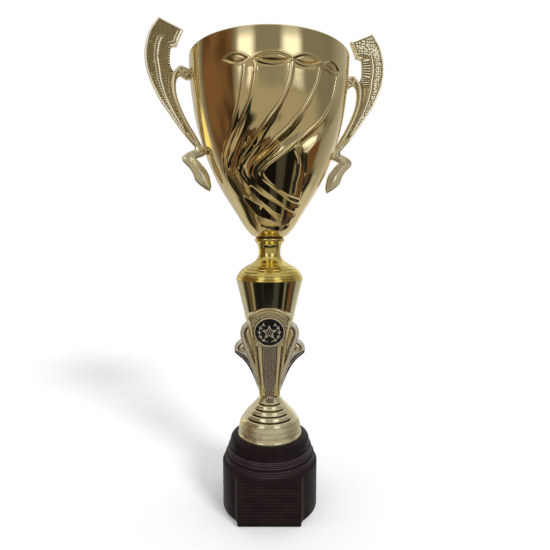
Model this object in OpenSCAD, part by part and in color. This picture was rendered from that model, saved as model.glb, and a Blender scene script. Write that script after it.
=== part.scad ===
// Two-handled presentation cup on a turned stem and a weighted plinth.
// One threaded rod runs up the middle and clamps plinth, stem and bowl together.
// Millimetres, +Z up, origin on the table under the middle of the plinth.

/* [Plinth] */
// Radius of the round drum of the plinth
plinth_r = 44.7; // [42:0.2:46]
// Width of the ribbed flat on the front and the back
plinth_face_w = 56; // [50:1:58]
// Distance between the front and the back ribbed flats
plinth_depth = 82.4; // [80:0.4:85]
// Height of the plinth body with its felt
plinth_h = 45; // [40:1:60]
// Number of grooves across each ribbed flat
rib_count = 14; // [8:1:15]
// Height of the three-tier round cap
cap_h = 23; // [20:1:28]

/* [Stem] */
// Radius of the lip of the domed foot
foot_r = 30.1; // [29:0.5:32]
// Height of the domed foot
foot_h = 36.6; // [33:0.2:40]
// Height of the flared column
column_h = 109.8; // [100:0.2:120]
// Radius of the column at its top
column_top_r = 30.8; // [29:0.2:32]
// Height of the neck collar between column and bowl
neck_h = 37.4; // [35:0.2:44]
// Diameter of the emblem disc in the front panel
emblem_d = 24.8; // [24:0.1:25.2]

/* [Bowl] */
// Outer radius of the bowl near its rim
bowl_r = 70; // [68:0.5:72]
// Height of the bowl
bowl_h = 154.4; // [146:0.2:164]
// Sheet thickness of the bowl
bowl_wall = 1; // [0.8:0.1:1.3]
// Angle that bowl and handles are turned on the rod
bowl_turn = 9.5; // [0:0.5:45]

/* [Handles] */
// Thickness of the handle castings
handle_t = 7; // [6:0.5:9]

/* [Hardware] */
// Diameter of the threaded tie rod
rod_d = 6; // [5:0.5:7]

/* [Hidden] */
$fn = 96;

gold = [0.86, 0.74, 0.36];
pale_gold = [0.80, 0.73, 0.48];
champagne = [0.78, 0.74, 0.60];
dark = [0.12, 0.10, 0.10];
steel = [0.62, 0.63, 0.65];

// levels
felt_t = 1;
plate_t = 2.5;
deck_t = 4;
z_cap = plinth_h;
z_foot = z_cap + cap_h;
z_col = z_foot + foot_h;
z_neck = z_col + column_h;
z_seat = z_neck + neck_h;
seat_t = 1;
z_bowl = z_seat + seat_t;
z_rim = z_bowl + bowl_h;
rod_r = rod_d / 2;
hole_r = rod_r + 0.3;
weight_t = 11;
z_weight = z_cap - deck_t - weight_t;
washer_t = 1.5;
nut_h = 5;
nut_r = rod_d * 0.96;

// smooth curve through a list of 2-D points, n steps to each span
function cr1(a, b, c, d, t) = 0.5 * ((2 * b) + (c - a) * t + (2 * a - 5 * b + 4 * c - d) * t * t
                                     + (3 * b - a - 3 * c + d) * t * t * t);
function curve(p, n) = concat([for (i = [0 : len(p) - 2]) for (j = [0 : n - 1])
    cr1(p[max(i - 1, 0)], p[i], p[i + 1], p[min(i + 2, len(p) - 1)], j / n)], [p[len(p) - 1]]);
// list with its order turned round
function back(p) = [for (i = [len(p) - 1 : -1 : 0]) p[i]];
// points moved by t to the left of the direction of travel
function tang(p, i) = let (d = p[min(i + 1, len(p) - 1)] - p[max(i - 1, 0)]) d / norm(d);
function shift(p, t) = [for (i = [0 : len(p) - 1]) let (d = tang(p, i)) p[i] + t * [-d[1], d[0]]];
function scaled(p, kr, kz) = [for (q = p) [q[0] * kr, q[1] * kz]];
// arc of radius r about c from angle a to angle b
function arc(c, r, a, b, n) = [for (i = [0 : n]) let (w = a + (b - a) * i / n) c + r * [cos(w), sin(w)]];

// ---------------------------------------------------------------- plinth

// plan of the plinth: round drum with a flat front and back, each flat's ends swept out in a hollow curve
sweep_r = 14.2;
module plinth_plan(inset = 0) {
    half = plinth_depth / 2 - inset;
    intersection() {
        union() {
            circle(r = plinth_r - inset);
            difference() {
                square([plinth_face_w + 9, 2 * half], center = true);
                for (sx = [-1, 1], sy = [-1, 1])
                    translate([sx * (plinth_face_w / 2 + sweep_r), sy * (plinth_depth / 2 - 0.2)])
                        circle(r = sweep_r + inset);
            }
        }
        square([4 * plinth_r, 2 * half], center = true);
    }
}
module plinth_hollow(r, half) {
    intersection() {
        circle(r = r);
        square([3 * r, 2 * half], center = true);
    }
}

module base_felt() {
    color([0.08, 0.08, 0.09]) linear_extrude(felt_t) plinth_plan(1);
}

module bottom_plate() {
    color([0.35, 0.25, 0.16]) translate([0, 0, felt_t])
        linear_extrude(plate_t) plinth_hollow(plinth_r - 1.7, plinth_depth / 2 - 2.1);
}

module plinth_body() {
    rib_pitch = (plinth_h - felt_t - 3) / rib_count;
    color(dark) difference() {
        intersection() {
            translate([0, 0, felt_t]) linear_extrude(plinth_h - felt_t) plinth_plan();
            // the block's top corners are turned off on a cone
            translate([0, 0, felt_t]) union() {
                cylinder(h = plinth_h - felt_t - 9, r = 60);
                translate([0, 0, plinth_h - felt_t - 9])
                    cylinder(h = 9, r1 = plinth_r + 7, r2 = plinth_r - 1.7);
            }
        }
        // hollow underside with a rebate for the plate
        translate([0, 0, felt_t - 1]) linear_extrude(plinth_h - felt_t - deck_t + 1)
            plinth_hollow(plinth_r - 2.8, plinth_depth / 2 - 3.4);
        translate([0, 0, felt_t - 1]) linear_extrude(plate_t + 1)
            plinth_hollow(plinth_r - 1.6, plinth_depth / 2 - 2);
        translate([0, 0, plinth_h - deck_t - 1]) cylinder(h = deck_t + 2, r = hole_r);
        // grooves across both flats
        for (s = [-1, 1], i = [1 : rib_count - 1])
            translate([0, s * plinth_depth / 2, felt_t + i * rib_pitch])
                cube([plinth_face_w - 6, 1.6, 1.1], center = true);
    }
}

module plinth_cap() {
    k = cap_h / 23;
    outer = [[31.5, 23], [34, 22.4], [35.9, 21.2], [36.9, 19.6], [37.5, 16.5], [37.9, 12.6],
             [39.2, 12.3], [39.5, 11.6], [39.8, 9], [40, 6.4], [41.4, 6.2], [41.9, 5.4], [42, 4], [42, 0]];
    color(dark) translate([0, 0, z_cap]) difference() {
        rotate_extrude() polygon(concat([[0, 0], [0, 23 * k]], scaled(outer, 1, k)));
        // two fine lines round the middle and the bottom tier
        for (z = [7.5, 9.2, 10.7, 2.2, 3.7])
            translate([0, 0, z * k]) rotate_extrude() translate([z > 5 ? 40.2 : 42.5, 0]) circle(r = 0.75, $fn = 24);
        // hollow under the tiers, round a central boss
        translate([0, 0, -1]) difference() {
            cylinder(h = 19 * k + 1, r = 34);
            cylinder(h = 19 * k + 2, r = 9);
        }
        translate([0, 0, -1]) cylinder(h = cap_h + 2, r = hole_r);
    }
}

module base_weight() {
    color([0.3, 0.3, 0.31]) translate([0, 0, z_weight]) difference() {
        intersection() {
            cylinder(h = weight_t, r = plinth_r - 4.4);
            translate([0, 0, weight_t / 2]) cube([100, plinth_depth - 10, weight_t], center = true);
        }
        translate([0, 0, -1]) cylinder(h = weight_t + 2, r = hole_r);
    }
}

module flat_ring(r_out, r_in, t) {
    difference() {
        cylinder(h = t, r = r_out);
        translate([0, 0, -1]) cylinder(h = t + 2, r = r_in);
    }
}

module bottom_washer() {
    color(steel) translate([0, 0, z_weight - washer_t]) flat_ring(9, rod_r + 0.2, washer_t);
}

module bottom_nut() {
    color(steel) translate([0, 0, z_weight - washer_t - nut_h]) difference() {
        cylinder(h = nut_h, r = nut_r, $fn = 6);
        translate([0, 0, -1]) cylinder(h = nut_h + 2, r = rod_r + 0.02);
    }
}

module tie_rod() {
    z0 = z_weight - washer_t - nut_h - 3;
    color(steel) translate([0, 0, z0]) cylinder(h = z_bowl + 10 - z0, r = rod_r);
}

// ---------------------------------------------------------------- stem

foot_curve = curve([[28.6, 9.4], [27.2, 13.8], [24.9, 17.6], [22, 21.4], [18.4, 25.2], [15.1, 28.8], [12, 32.4], [10.3, 34.8], [9.8, 36]], 3);

module foot_dome() {
    kr = foot_r / 30.1;
    kz = foot_h / 36.6;
    outer = concat([[30.1, 0], [30.1, 1.6], [29.7, 2.2], [29.4, 3.2]], foot_curve, [[9.7, 36.6]]);
    inner = concat([[0, 29.5], [10.4, 29]], back(shift(foot_curve, 2.2)), [[26.8, 0]]);
    color(pale_gold) translate([0, 0, z_foot]) difference() {
        rotate_extrude() polygon(concat(scaled(outer, kr, kz), [[0, foot_h]],
            scaled([for (q = inner) if (q[1] <= 29.5 && (q[0] == 0 || q[0] >= 10.4)) q], kr, kz)));
        translate([0, 0, -1]) cylinder(h = foot_h + 2, r = hole_r);
    }
}

// radius of the column at height h above its foot
function column_r(h) = let (u = h / column_h)
    9.7 + (column_top_r - 9.7) * (0.69 * u + 0.31 * u * u);

module column_outside(grow = 0) {
    rotate_extrude() polygon(concat([[0, 0]],
        [for (i = [0 : 12]) [column_r(column_h * i / 12) + grow, column_h * i / 12]], [[0, column_h]]));
}

module column() {
    wall = 2.2;
    color(pale_gold) translate([0, 0, z_col]) difference() {
        column_outside();
        rotate_extrude() polygon(concat([[0, 6]],
            [for (i = [0 : 10]) let (h = 6 + (column_h - 5) * i / 10) [column_r(h) - wall, h]], [[0, column_h + 1]]));
        translate([0, 0, -1]) cylinder(h = 9, r = hole_r);
    }
}

// inclined frame of the panel: x across, y up the face, z out of it, zero at the disc
panel_tilt = 10;
disc_h = 65;
disc_y = column_r(disc_h) + 2.6;
panel_top = 19.4;
panel_foot = -63;
module on_panel() {
    translate([0, -disc_y, z_col + disc_h]) rotate([90 + panel_tilt, 0, 0]) children();
}

// arch-topped outline that narrows to the waist
function panel_outline(e) = concat(
    [[-9.2 + e, panel_foot + e], [9.2 - e, panel_foot + e]],
    arc([0, panel_top - 22], 22 - e, 40, 140, 16));
// wider outline of the step behind the face
function step_outline(e) = concat(
    [[-9.5 + e, panel_foot + e], [9.5 - e, panel_foot + e]],
    arc([0, panel_top - 22], 24.6 - e, 40, 140, 16));

// block behind the panel's face, in front of the rod only
module panel_volume(e) {
    difference() {
        union() {
            on_panel() translate([0, 0, -18]) linear_extrude(18) polygon(panel_outline(e));
            on_panel() translate([0, 0, -18]) linear_extrude(15.6 - min(e, 0)) polygon(step_outline(e));
        }
        translate([-50, -2, z_col - 20]) cube([100, 100, column_h + 20]);
    }
}

module panel_blank() {
    difference() {
        panel_volume(0);
        on_panel() translate([0, 0, -1.2]) linear_extrude(3) polygon(panel_outline(1.8));
        translate([0, 0, z_col]) column_outside(0.05);
    }
    // raised centre strip and its two flanking bands below the disc
    difference() {
        on_panel() translate([0, 0, -1.4]) linear_extrude(1.4)
            polygon([[-7.2, panel_foot + 1.8], [7.2, panel_foot + 1.8], [12.2, -10], [-12.2, -10]]);
        on_panel() translate([0, 0, -0.5]) linear_extrude(2)
            polygon([[-4, panel_foot], [4, panel_foot], [6.2, -10], [-6.2, -10]]);
    }
    on_panel() translate([0, 0, -1.4]) cylinder(h = 2.2, r = emblem_d / 2 + 1.1);
}

module front_panel() {
    color(pale_gold) difference() {
        panel_blank();
        on_panel() translate([0, 0, -0.4]) cylinder(h = 5, r = emblem_d / 2 + 0.15);
    }
}

module back_panel() {
    color(pale_gold) rotate([0, 0, 180]) difference() {
        panel_blank();
        on_panel() translate([0, 0, -0.4]) cylinder(h = 5, r = emblem_d / 2 + 0.15);
    }
}

module emblem_disc() {
    color([0.1, 0.1, 0.1]) on_panel() translate([0, 0, -0.4]) cylinder(h = 0.9, r = emblem_d / 2);
}

// side wing: two leaf lobes, one above the other, that run down to the waist
upper_lobe = curve([[17, 76], [22, 70.2], [25.6, 66.5], [27.4, 62], [27.6, 58.5], [27, 54.5], [24, 45],
                    [18.6, 30], [13.2, 14], [10.4, 6]], 3);
lower_lobe = curve([[22, 55.4], [27, 53.6], [30.8, 50.6], [32.8, 47], [33.2, 43.6], [32.2, 40.6], [29.4, 38], [26, 35.2],
                    [22.6, 31.3], [19.8, 27.2], [16.2, 20], [13, 12], [10.6, 5]], 3);

module wing_side() {
    difference() {
        translate([0, 0, z_col]) union() {
            translate([0, 5.5, 0]) rotate([90, 0, 0]) linear_extrude(11)
                polygon(concat(upper_lobe, [[7, 6], [9, 40], [12, 76]]));
            translate([0, 4, 0]) rotate([90, 0, 0]) linear_extrude(8)
                polygon(concat(lower_lobe, [[7, 5], [9, 30], [12, 55]]));
        }
        translate([0, 0, z_col]) column_outside(0.05);
        panel_volume(-0.1);
        rotate([0, 0, 180]) panel_volume(-0.1);
    }
}

module wing_right() { color(champagne) wing_side(); }
module wing_left() { color(champagne) rotate([0, 0, 180]) wing_side(); }

module neck_collar() {
    k = neck_h / 37.4;
    // rounded shoulder, waist and flange
    outer = concat([[30.8, 0]],
                   curve([[30.8, 0.8], [30.4, 2.4], [29.3, 4.8], [26.8, 8.2], [23, 11.4], [18.8, 13.8], [15.6, 15.5], [13.2, 17.3],
                          [11.7, 19.2], [10.6, 21.2], [10.1, 23.4], [10, 26.4], [10.2, 28.8], [10.8, 31], [12.1, 33.2], [13.4, 35]], 3),
                   [[13.8, 35.8], [13.8, 36.9], [13.5, 37.4]]);
    color(gold) translate([0, 0, z_neck]) difference() {
        union() {
            rotate_extrude() polygon(concat([[0, 0]], scaled(outer, 1, k), [[0, neck_h]]));
            // register ring inside the column's mouth
            translate([0, 0, -4]) cylinder(h = 5, r = column_top_r - 3.6);
        }
        // fine lines round the shoulder
        for (q = [[30.6, 2.8], [28.8, 6.3], [26, 9.6]])
            translate([0, 0, q[1] * k]) rotate_extrude() translate([q[0], 0]) circle(r = 0.5, $fn = 16);
        translate([0, 0, -5]) cylinder(h = 5 + 7 * k, r = column_top_r - 6);
        translate([0, 0, -1]) cylinder(h = neck_h + 2, r = hole_r);
    }
}

module seat_washer() {
    color([0.15, 0.15, 0.15]) translate([0, 0, z_seat]) flat_ring(12.4, hole_r, seat_t);
}

// ---------------------------------------------------------------- bowl

bowl_k = bowl_r / 70;
bowl_kz = bowl_h / 154.4;
bowl_curve = curve([[12.8, 0], [14.8, 1.2], [17.1, 2.8], [23, 10], [29.5, 20.5], [36.5, 31.5], [43, 42], [48.5, 52.5],
                    [53, 62.5], [57, 73], [60.5, 84], [63.5, 95], [66, 107], [67.8, 120], [69.2, 132],
                    [69.9, 144], [70, 153.2]], 3);

module bowl() {
    outside = scaled(bowl_curve, bowl_k, bowl_kz);
    inside = [for (q = shift(outside, bowl_wall)) if (q[1] > bowl_wall) q];
    color(gold) rotate([0, 0, bowl_turn]) translate([0, 0, z_bowl]) difference() {
        union() {
            rotate_extrude() polygon(concat([[0, 0]], outside, back(inside),
                [[inside[0][0] - 1, bowl_wall], [0, bowl_wall]]));
            // rolled rim
            translate([0, 0, bowl_h - 0.7]) rotate_extrude() translate([bowl_r - 1, 0]) circle(r = 1.1, $fn = 24);
        }
        translate([0, 0, -1]) cylinder(h = 4, r = hole_r);
        for (s = [0, 180]) rotate([0, 0, s]) {
            upper_axis() translate([0, 0, -6]) cylinder(h = 12, r = 1.8, $fn = 32);
            lower_axis() translate([0, 0, -6]) cylinder(h = 12, r = 1.8, $fn = 32);
        }
    }
}

// running gap under the washer, so that the bowl can turn
turn_gap = 0.1;

module bowl_washer() {
    color(steel) translate([0, 0, z_bowl + bowl_wall + turn_gap]) flat_ring(11, rod_r + 0.2, 1.5);
}

module bowl_nut() {
    // domed cap nut, blind on the rod's end
    color(steel) translate([0, 0, z_bowl + bowl_wall + turn_gap + 1.5]) difference() {
        union() {
            cylinder(h = nut_h, r = nut_r, $fn = 6);
            intersection() {
                translate([0, 0, nut_h - 0.5]) sphere(r = 4.7);
                translate([0, 0, nut_h - 1]) cylinder(h = 9, r = 4.7);
            }
        }
        translate([0, 0, -1]) cylinder(h = 8.7, r = rod_r + 0.02);
    }
}

// ---------------------------------------------------------------- handles

// screw axes in the handle's plane: z runs outwards, zero on the bowl's outside
up_h = 139.4;
low_h = 74.4;
module upper_axis() { translate([69.7 * bowl_k, 0, up_h * bowl_kz]) rotate([0, 90, 0]) children(); }
module lower_axis() { translate([57.5 * bowl_k, 0, low_h * bowl_kz]) rotate([0, 112, 0]) children(); }

// outline of a handle: distance from the rod and height over the bowl's foot
handle_outer = curve([[94.5, 184.6], [101, 175.4], [104.4, 167], [106.4, 157], [106.4, 149], [105.2, 141], [102.8, 133.4],
                      [99.5, 126], [95.5, 118], [89.4, 109], [83.6, 100.6], [78, 92.8], [72.5, 86], [66, 78.6]], 3);
handle_knee = curve([[66.4, 76.4], [73, 73.5], [76.8, 69.8], [76.4, 66], [71, 60.4], [67.8, 55], [66.4, 50.6],
                     [63.4, 47], [58.2, 43], [53.4, 40.4]], 3);
handle_leaf = curve([[52.2, 45], [54.6, 56], [60.6, 64.2], [65.2, 68.6]], 3);
handle_inner = curve([[60.5, 80.8], [65.6, 89.6], [70.6, 98], [76, 108.6], [80, 119.6], [81.2, 128.8],
                      [80.6, 134.6], [78.4, 137.6], [75.6, 136.8], [72.8, 135.2], [68, 135.4]], 3);
handle_hook = curve([[68, 143], [73, 145.6], [77.6, 146.4], [80.6, 143.6], [83, 141.6], [84.8, 144.4], [85.8, 148],
                     [85.9, 152.6], [85.5, 157.4], [84.4, 161.2], [80, 162.4]], 3);
handle_head = [[78.4, 166.8], [76.2, 171.6], [74.3, 175.9], [79.4, 178], [87, 181.3]];

module handle_profile() {
    polygon(scaled(concat(handle_outer, handle_knee, handle_leaf, [[58, 71.4], [54, 73], [54, 77]],
                          handle_inner, handle_hook, handle_head), 1, bowl_kz));
}

module handle_casting() {
    rotate([0, 0, bowl_turn]) translate([0, 0, z_bowl]) difference() {
        translate([(bowl_k - 1) * 64, handle_t / 2, 0]) rotate([90, 0, 0]) linear_extrude(handle_t) handle_profile();
        // fitted against the outside of the bowl
        rotate_extrude() polygon([for (q = concat([[0, 40]], [for (h = [40 : 12 : 160]) [bowl_k * bowl_at(h) + 0.1, h]],
            [[0, 160]])) [q[0], q[1] * bowl_kz]]);
        upper_axis() translate([0, 0, -3]) cylinder(h = 9.5, r = 1.3, $fn = 32);
        lower_axis() translate([0, 0, -3]) cylinder(h = 9.5, r = 1.3, $fn = 32);
    }
}
// radius of the bowl's outside at height h
function bowl_at(h) = lookup(h, [for (q = bowl_curve) [q[1], q[0]]]);

module handle_right() { color(gold) handle_casting(); }
module handle_left() { color(gold) rotate([0, 0, 180]) handle_casting(); }

// the four screws are put in from inside the bowl
module handle_screw() {
    translate([0, 0, -bowl_wall - 1 - 2]) intersection() {
        cylinder(h = 2, r = 2.9, $fn = 32);
        translate([0, 0, 3.4]) sphere(r = 3.9, $fn = 48);
    }
    translate([0, 0, -bowl_wall - 1.2]) cylinder(h = 8.2, r = 1.28, $fn = 32);
}
module handle_washer() {
    translate([0, 0, -bowl_wall - 1]) difference() {
        cylinder(h = 0.7, r = 3.6, $fn = 48);
        translate([0, 0, -1]) cylinder(h = 3, r = 1.6, $fn = 32);
    }
}
module at_handle_fixings() {
    rotate([0, 0, bowl_turn]) translate([0, 0, z_bowl]) for (s = [0, 180]) rotate([0, 0, s]) {
        upper_axis() children();
        lower_axis() children();
    }
}
module handle_screws() { color(steel) at_handle_fixings() handle_screw(); }
module handle_washers() { color(steel) at_handle_fixings() handle_washer(); }

base_felt();
bottom_plate();
plinth_body();
plinth_cap();
base_weight();
bottom_washer();
bottom_nut();
tie_rod();
foot_dome();
column();
front_panel();
back_panel();
emblem_disc();
wing_left();
wing_right();
neck_collar();
seat_washer();
bowl();
bowl_washer();
bowl_nut();
handle_left();
handle_right();
handle_screws();
handle_washers();
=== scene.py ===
import math

import bpy
import numpy as np
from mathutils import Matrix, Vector
from mathutils.geometry import delaunay_2d_cdt


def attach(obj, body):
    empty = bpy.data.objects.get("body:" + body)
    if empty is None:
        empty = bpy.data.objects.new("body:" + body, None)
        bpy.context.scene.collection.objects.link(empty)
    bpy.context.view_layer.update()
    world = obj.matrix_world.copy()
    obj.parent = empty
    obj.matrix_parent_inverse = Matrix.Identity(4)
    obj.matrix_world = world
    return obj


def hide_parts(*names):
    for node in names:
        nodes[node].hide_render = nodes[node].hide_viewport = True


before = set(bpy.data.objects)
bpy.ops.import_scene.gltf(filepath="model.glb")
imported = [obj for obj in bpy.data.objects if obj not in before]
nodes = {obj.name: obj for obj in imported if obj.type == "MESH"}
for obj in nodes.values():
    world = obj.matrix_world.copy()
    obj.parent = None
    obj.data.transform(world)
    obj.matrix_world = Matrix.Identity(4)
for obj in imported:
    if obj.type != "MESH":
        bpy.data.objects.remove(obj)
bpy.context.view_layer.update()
scene = bpy.context.scene
MM = 0.001
TURN = math.radians(9.5)  # bowl and handles on the rod

# ------------------------------------------------------------------ shapes


def smooth(a, b, x):
    t = np.clip((x - a) / (b - a), 0.0, 1.0)
    return t * t * (3 - 2 * t)


def dome(x):
    """Half round profile: 1 at 0, 0 at -1 and 1."""
    return np.sqrt(np.clip(1 - x * x, 0, 1))


def curve(pts, n):
    """Smooth line through the points, n steps to each span."""
    p = np.asarray(pts, float)
    t = np.arange(n)[:, None] / n
    out = []
    for i in range(len(p) - 1):
        a, b, c, d = p[max(i - 1, 0)], p[i], p[i + 1], p[min(i + 2, len(p) - 1)]
        out.append(0.5 * (2 * b + (c - a) * t + (2 * a - 5 * b + 4 * c - d) * t * t + (3 * b - a - 3 * c + d) * t ** 3))
    out.append(p[-1:])
    return np.vstack(out)


def resample(line, step):
    line = np.asarray(line, float)
    s = np.r_[0, np.cumsum(np.hypot(*np.diff(line, axis=0).T))]
    q = np.linspace(0, s[-1], max(2, int(round(s[-1] / step)) + 1))
    return np.c_[np.interp(q, s, line[:, 0]), np.interp(q, s, line[:, 1])]


def eased(pts, r, n=4):
    """Polyline with each inner corner rounded by about r."""
    p = np.asarray(pts, float)
    out = [p[0]]
    for a, b, c in zip(p, p[1:], p[2:]):
        la, lc = np.linalg.norm(a - b), np.linalg.norm(c - b)
        k = min(r, 0.45 * la, 0.45 * lc)
        u, w = b + (a - b) / la * k, b + (c - b) / lc * k
        for t in np.linspace(0, 1, n + 1):
            out.append((1 - t) ** 2 * u + 2 * t * (1 - t) * b + t * t * w)
    out.append(p[-1])
    return np.array(out)


def along(P, line):
    """Distance of points to a polyline, the place along it, and the side (left of travel is positive)."""
    a, b = line[:-1], line[1:]
    ab = b - a
    L = np.maximum(np.hypot(ab[:, 0], ab[:, 1]), 1e-9)
    s0 = np.r_[0, np.cumsum(L)][:-1]
    d, s, side = np.empty(len(P)), np.empty(len(P)), np.empty(len(P))
    for k in range(0, len(P), 3000):
        q = P[k:k + 3000, None, :]
        t = np.clip(((q - a) * ab).sum(2) / (L * L), 0, 1)
        c = q - (a + t[..., None] * ab)
        dd = np.hypot(c[..., 0], c[..., 1])
        j = dd.argmin(1)
        i = np.arange(len(j))
        d[k:k + 3000] = dd[i, j]
        s[k:k + 3000] = s0[j] + t[i, j] * L[j]
        side[k:k + 3000] = np.where(ab[j, 0] * c[i, j, 1] - ab[j, 1] * c[i, j, 0] >= 0, 1.0, -1.0)
    return d, s, side


def closed(line):
    return np.vstack([line, line[:1]])


def inside(P, poly):
    x, y = P[:, 0], P[:, 1]
    res = np.zeros(len(P), bool)
    for (x1, y1), (x2, y2) in zip(poly, np.roll(poly, -1, 0)):
        if y1 != y2:
            res ^= ((y1 > y) != (y2 > y)) & (x < (x2 - x1) * (y - y1) / (y2 - y1) + x1)
    return res


def grain(P, cell, seed=0):
    """Smooth random heights from -1 to 1 on a lattice of that size."""
    q = P / cell
    i = np.floor(q).astype(np.int64)
    f = q - i
    f = f * f * (3 - 2 * f)

    def h(x, y):
        n = (x * 374761393 + y * 668265263 + seed * 974634777) & 0x7FFFFFFF
        n = ((n ^ (n >> 13)) * 1274126177) & 0x7FFFFFFF
        return ((n ^ (n >> 16)) & 0xFFFF) / 65535.0

    x, y = i[:, 0], i[:, 1]
    top = h(x, y) * (1 - f[:, 0]) + h(x + 1, y) * f[:, 0]
    low = h(x, y + 1) * (1 - f[:, 0]) + h(x + 1, y + 1) * f[:, 0]
    return 2 * (top * (1 - f[:, 1]) + low * f[:, 1]) - 1


def pebbles(P, cell, seed=0):
    """Round pebbles, one to a cell of that size: 1 on top of each, 0 between them."""
    q = P / cell
    i = np.floor(q).astype(np.int64)
    best = np.full(len(P), 9.0)
    for dx in (-1, 0, 1):
        for dy in (-1, 0, 1):
            c = i + [dx, dy]
            n = (c[:, 0] * 374761393 + c[:, 1] * 668265263 + seed * 974634777) & 0x7FFFFFFF
            n = ((n ^ (n >> 13)) * 1274126177) & 0x7FFFFFFF
            n = n ^ (n >> 16)
            m = c + 0.5 + 0.5 * (np.c_[n & 255, (n >> 8) & 255] / 255.0 - 0.5)
            best = np.minimum(best, np.hypot(*(q - m).T))
    return smooth(0.54, 0.32, best)


def knurl(a, b):
    """Diamond points: 1 at the middle of each, 0 in the crossing cuts. a and b count diamonds along both cuts."""
    ta = 1 - np.abs(2 * (a - np.floor(a)) - 1)
    tb = 1 - np.abs(2 * (b - np.floor(b)) - 1)
    return np.minimum(ta, tb)


def quads(rows, cols, close_rows=False, close_cols=True):
    i = np.arange(rows if close_rows else rows - 1)
    j = np.arange(cols if close_cols else cols - 1)
    I, J = np.meshgrid(i, j, indexing="ij")
    I2, J2 = (I + 1) % rows, (J + 1) % cols
    return np.stack([I * cols + J, I * cols + J2, I2 * cols + J2, I2 * cols + J], -1).reshape(-1, 4)


def build(name, parts, mats, angle=38.0):
    """One mesh object from (vertices in mm, [faces], material index) parts."""
    verts, faces, which, base = [], [], [], 0
    for v, fs, m in parts:
        verts.append(v)
        for k, f in enumerate(fs):
            faces.append(f + base)
            which.append(np.full(len(f), m[k] if isinstance(m, list) else m, np.int32))
        base += len(v)
    me = bpy.data.meshes.new(name)
    co = (np.vstack(verts) * MM).astype(np.float32)
    me.vertices.add(len(co))
    me.vertices.foreach_set("co", co.ravel())
    loops = np.concatenate([f.ravel() for f in faces]).astype(np.int32)
    total = np.concatenate([np.full(len(f), f.shape[1]) for f in faces]).astype(np.int32)
    me.loops.add(len(loops))
    me.loops.foreach_set("vertex_index", loops)
    me.polygons.add(len(total))
    me.polygons.foreach_set("loop_start", np.r_[0, np.cumsum(total)[:-1]].astype(np.int32))
    me.update(calc_edges=True)
    for m in mats:
        me.materials.append(m)
    me.polygons.foreach_set("material_index", np.concatenate(which))
    me.polygons.foreach_set("use_smooth", np.ones(len(total), bool))
    me.set_sharp_from_angle(angle=math.radians(angle))
    me.validate()
    ob = bpy.data.objects.new(name, me)
    scene.collection.objects.link(ob)
    return ob


def turned(loop, n, z0=0.0, move=None):
    """Closed loop of (r, z) points turned round the rod."""
    p = np.asarray(loop, float)
    a = np.arange(n) * 2 * math.pi / n
    R = np.repeat(p[:, :1], n, 1)
    Z = np.repeat(p[:, 1:], n, 1) + z0
    if move is not None:
        R, Z = move(R, Z, a)
    v = np.stack([R * np.cos(a), R * np.sin(a), Z], -1).reshape(-1, 3)
    return v, [quads(len(p), n, True, True)], 0


def plate(outline, front, back, step, place, rings=(0.35, 0.85), flare=0.0, pick=None, lines=()):
    """Flat casting: an outline filled with a fine net, whose two faces stand front(P, d) and back(P, d) from the middle plane. d is the distance to the edge, pick(P) the number of the finish at points of both faces, or one number for each face."""
    edge = resample(closed(outline), step)[:-1]
    x, y = edge.T
    if (x * np.roll(y, -1) - np.roll(x, -1) * y).sum() < 0:
        edge = edge[::-1]
    t = np.roll(edge, -1, 0) - np.roll(edge, 1, 0)
    nrm = np.c_[-t[:, 1], t[:, 0]] / np.maximum(np.hypot(*t.T), 1e-9)[:, None]
    loop = closed(edge)
    pts = [edge]
    for r in rings:
        q = edge + nrm * r
        q = q[inside(q, edge)]
        pts.append(q[along(q, loop)[0] > 0.93 * r])
    lo, hi = edge.min(0), edge.max(0)
    gx = np.arange(lo[0], hi[0], step)
    gy = np.arange(lo[1], hi[1], step * 0.866)
    X, Y = np.meshgrid(gx, gy)
    X = X + (np.arange(len(gy)) % 2)[:, None] * step / 2
    q = np.c_[X.ravel(), Y.ravel()]
    q = q[inside(q, edge)]
    q = q[along(q, loop)[0] > rings[-1] + 0.55 * step]
    for line in lines:
        q = q[along(q, line)[0] > 0.55 * step]
    for k, line in enumerate(lines):
        w = resample(line, step)
        w = w[inside(w, edge)]
        w = w[along(w, loop)[0] > rings[-1] + 0.3 * step]
        for other in lines[:k]:
            w = w[along(w, other)[0] > 0.2 * step]
        pts.append(w)
    pts.append(q)
    P = np.vstack(pts)
    n = len(edge)
    v2, _, f2, ov, _, _ = delaunay_2d_cdt([Vector(p) for p in P], [(i, (i + 1) % n) for i in range(n)], [], 1, 1e-7)
    V = np.array([(p.x, p.y) for p in v2])
    rim = np.full(n, -1)
    for k, src in enumerate(ov):
        for s in src:
            if s < n:
                rim[s] = k
    T = np.array([f for f in f2 if len(f) == 3])
    area = (V[T[:, 1], 0] - V[T[:, 0], 0]) * (V[T[:, 2], 1] - V[T[:, 0], 1]) - (V[T[:, 2], 0] - V[T[:, 0], 0]) * (V[T[:, 1], 1] - V[T[:, 0], 1])
    T = np.where((area < 0)[:, None], T[:, ::-1], T)
    d = along(V, loop)[0]
    d[rim] = 0
    B = V.copy()
    B[rim] -= nrm * flare
    k = len(V)
    v = np.vstack([np.c_[V, front(V, d)], np.c_[B, -back(V, d)]])
    nxt = np.roll(rim, -1)
    wall = np.stack([rim + k, nxt + k, nxt, rim], -1)
    kind = np.zeros(len(T), int) if pick is None else pick(V[T].mean(1))
    fore, aft = kind if isinstance(kind, tuple) else (kind, kind)
    fs, ms = [wall], [0]
    for q in np.unique(np.r_[fore, aft]):
        fs += [T[fore == q], T[aft == q][:, ::-1] + k]
        ms += [int(q), int(q)]
    return place(v), fs, ms


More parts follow.
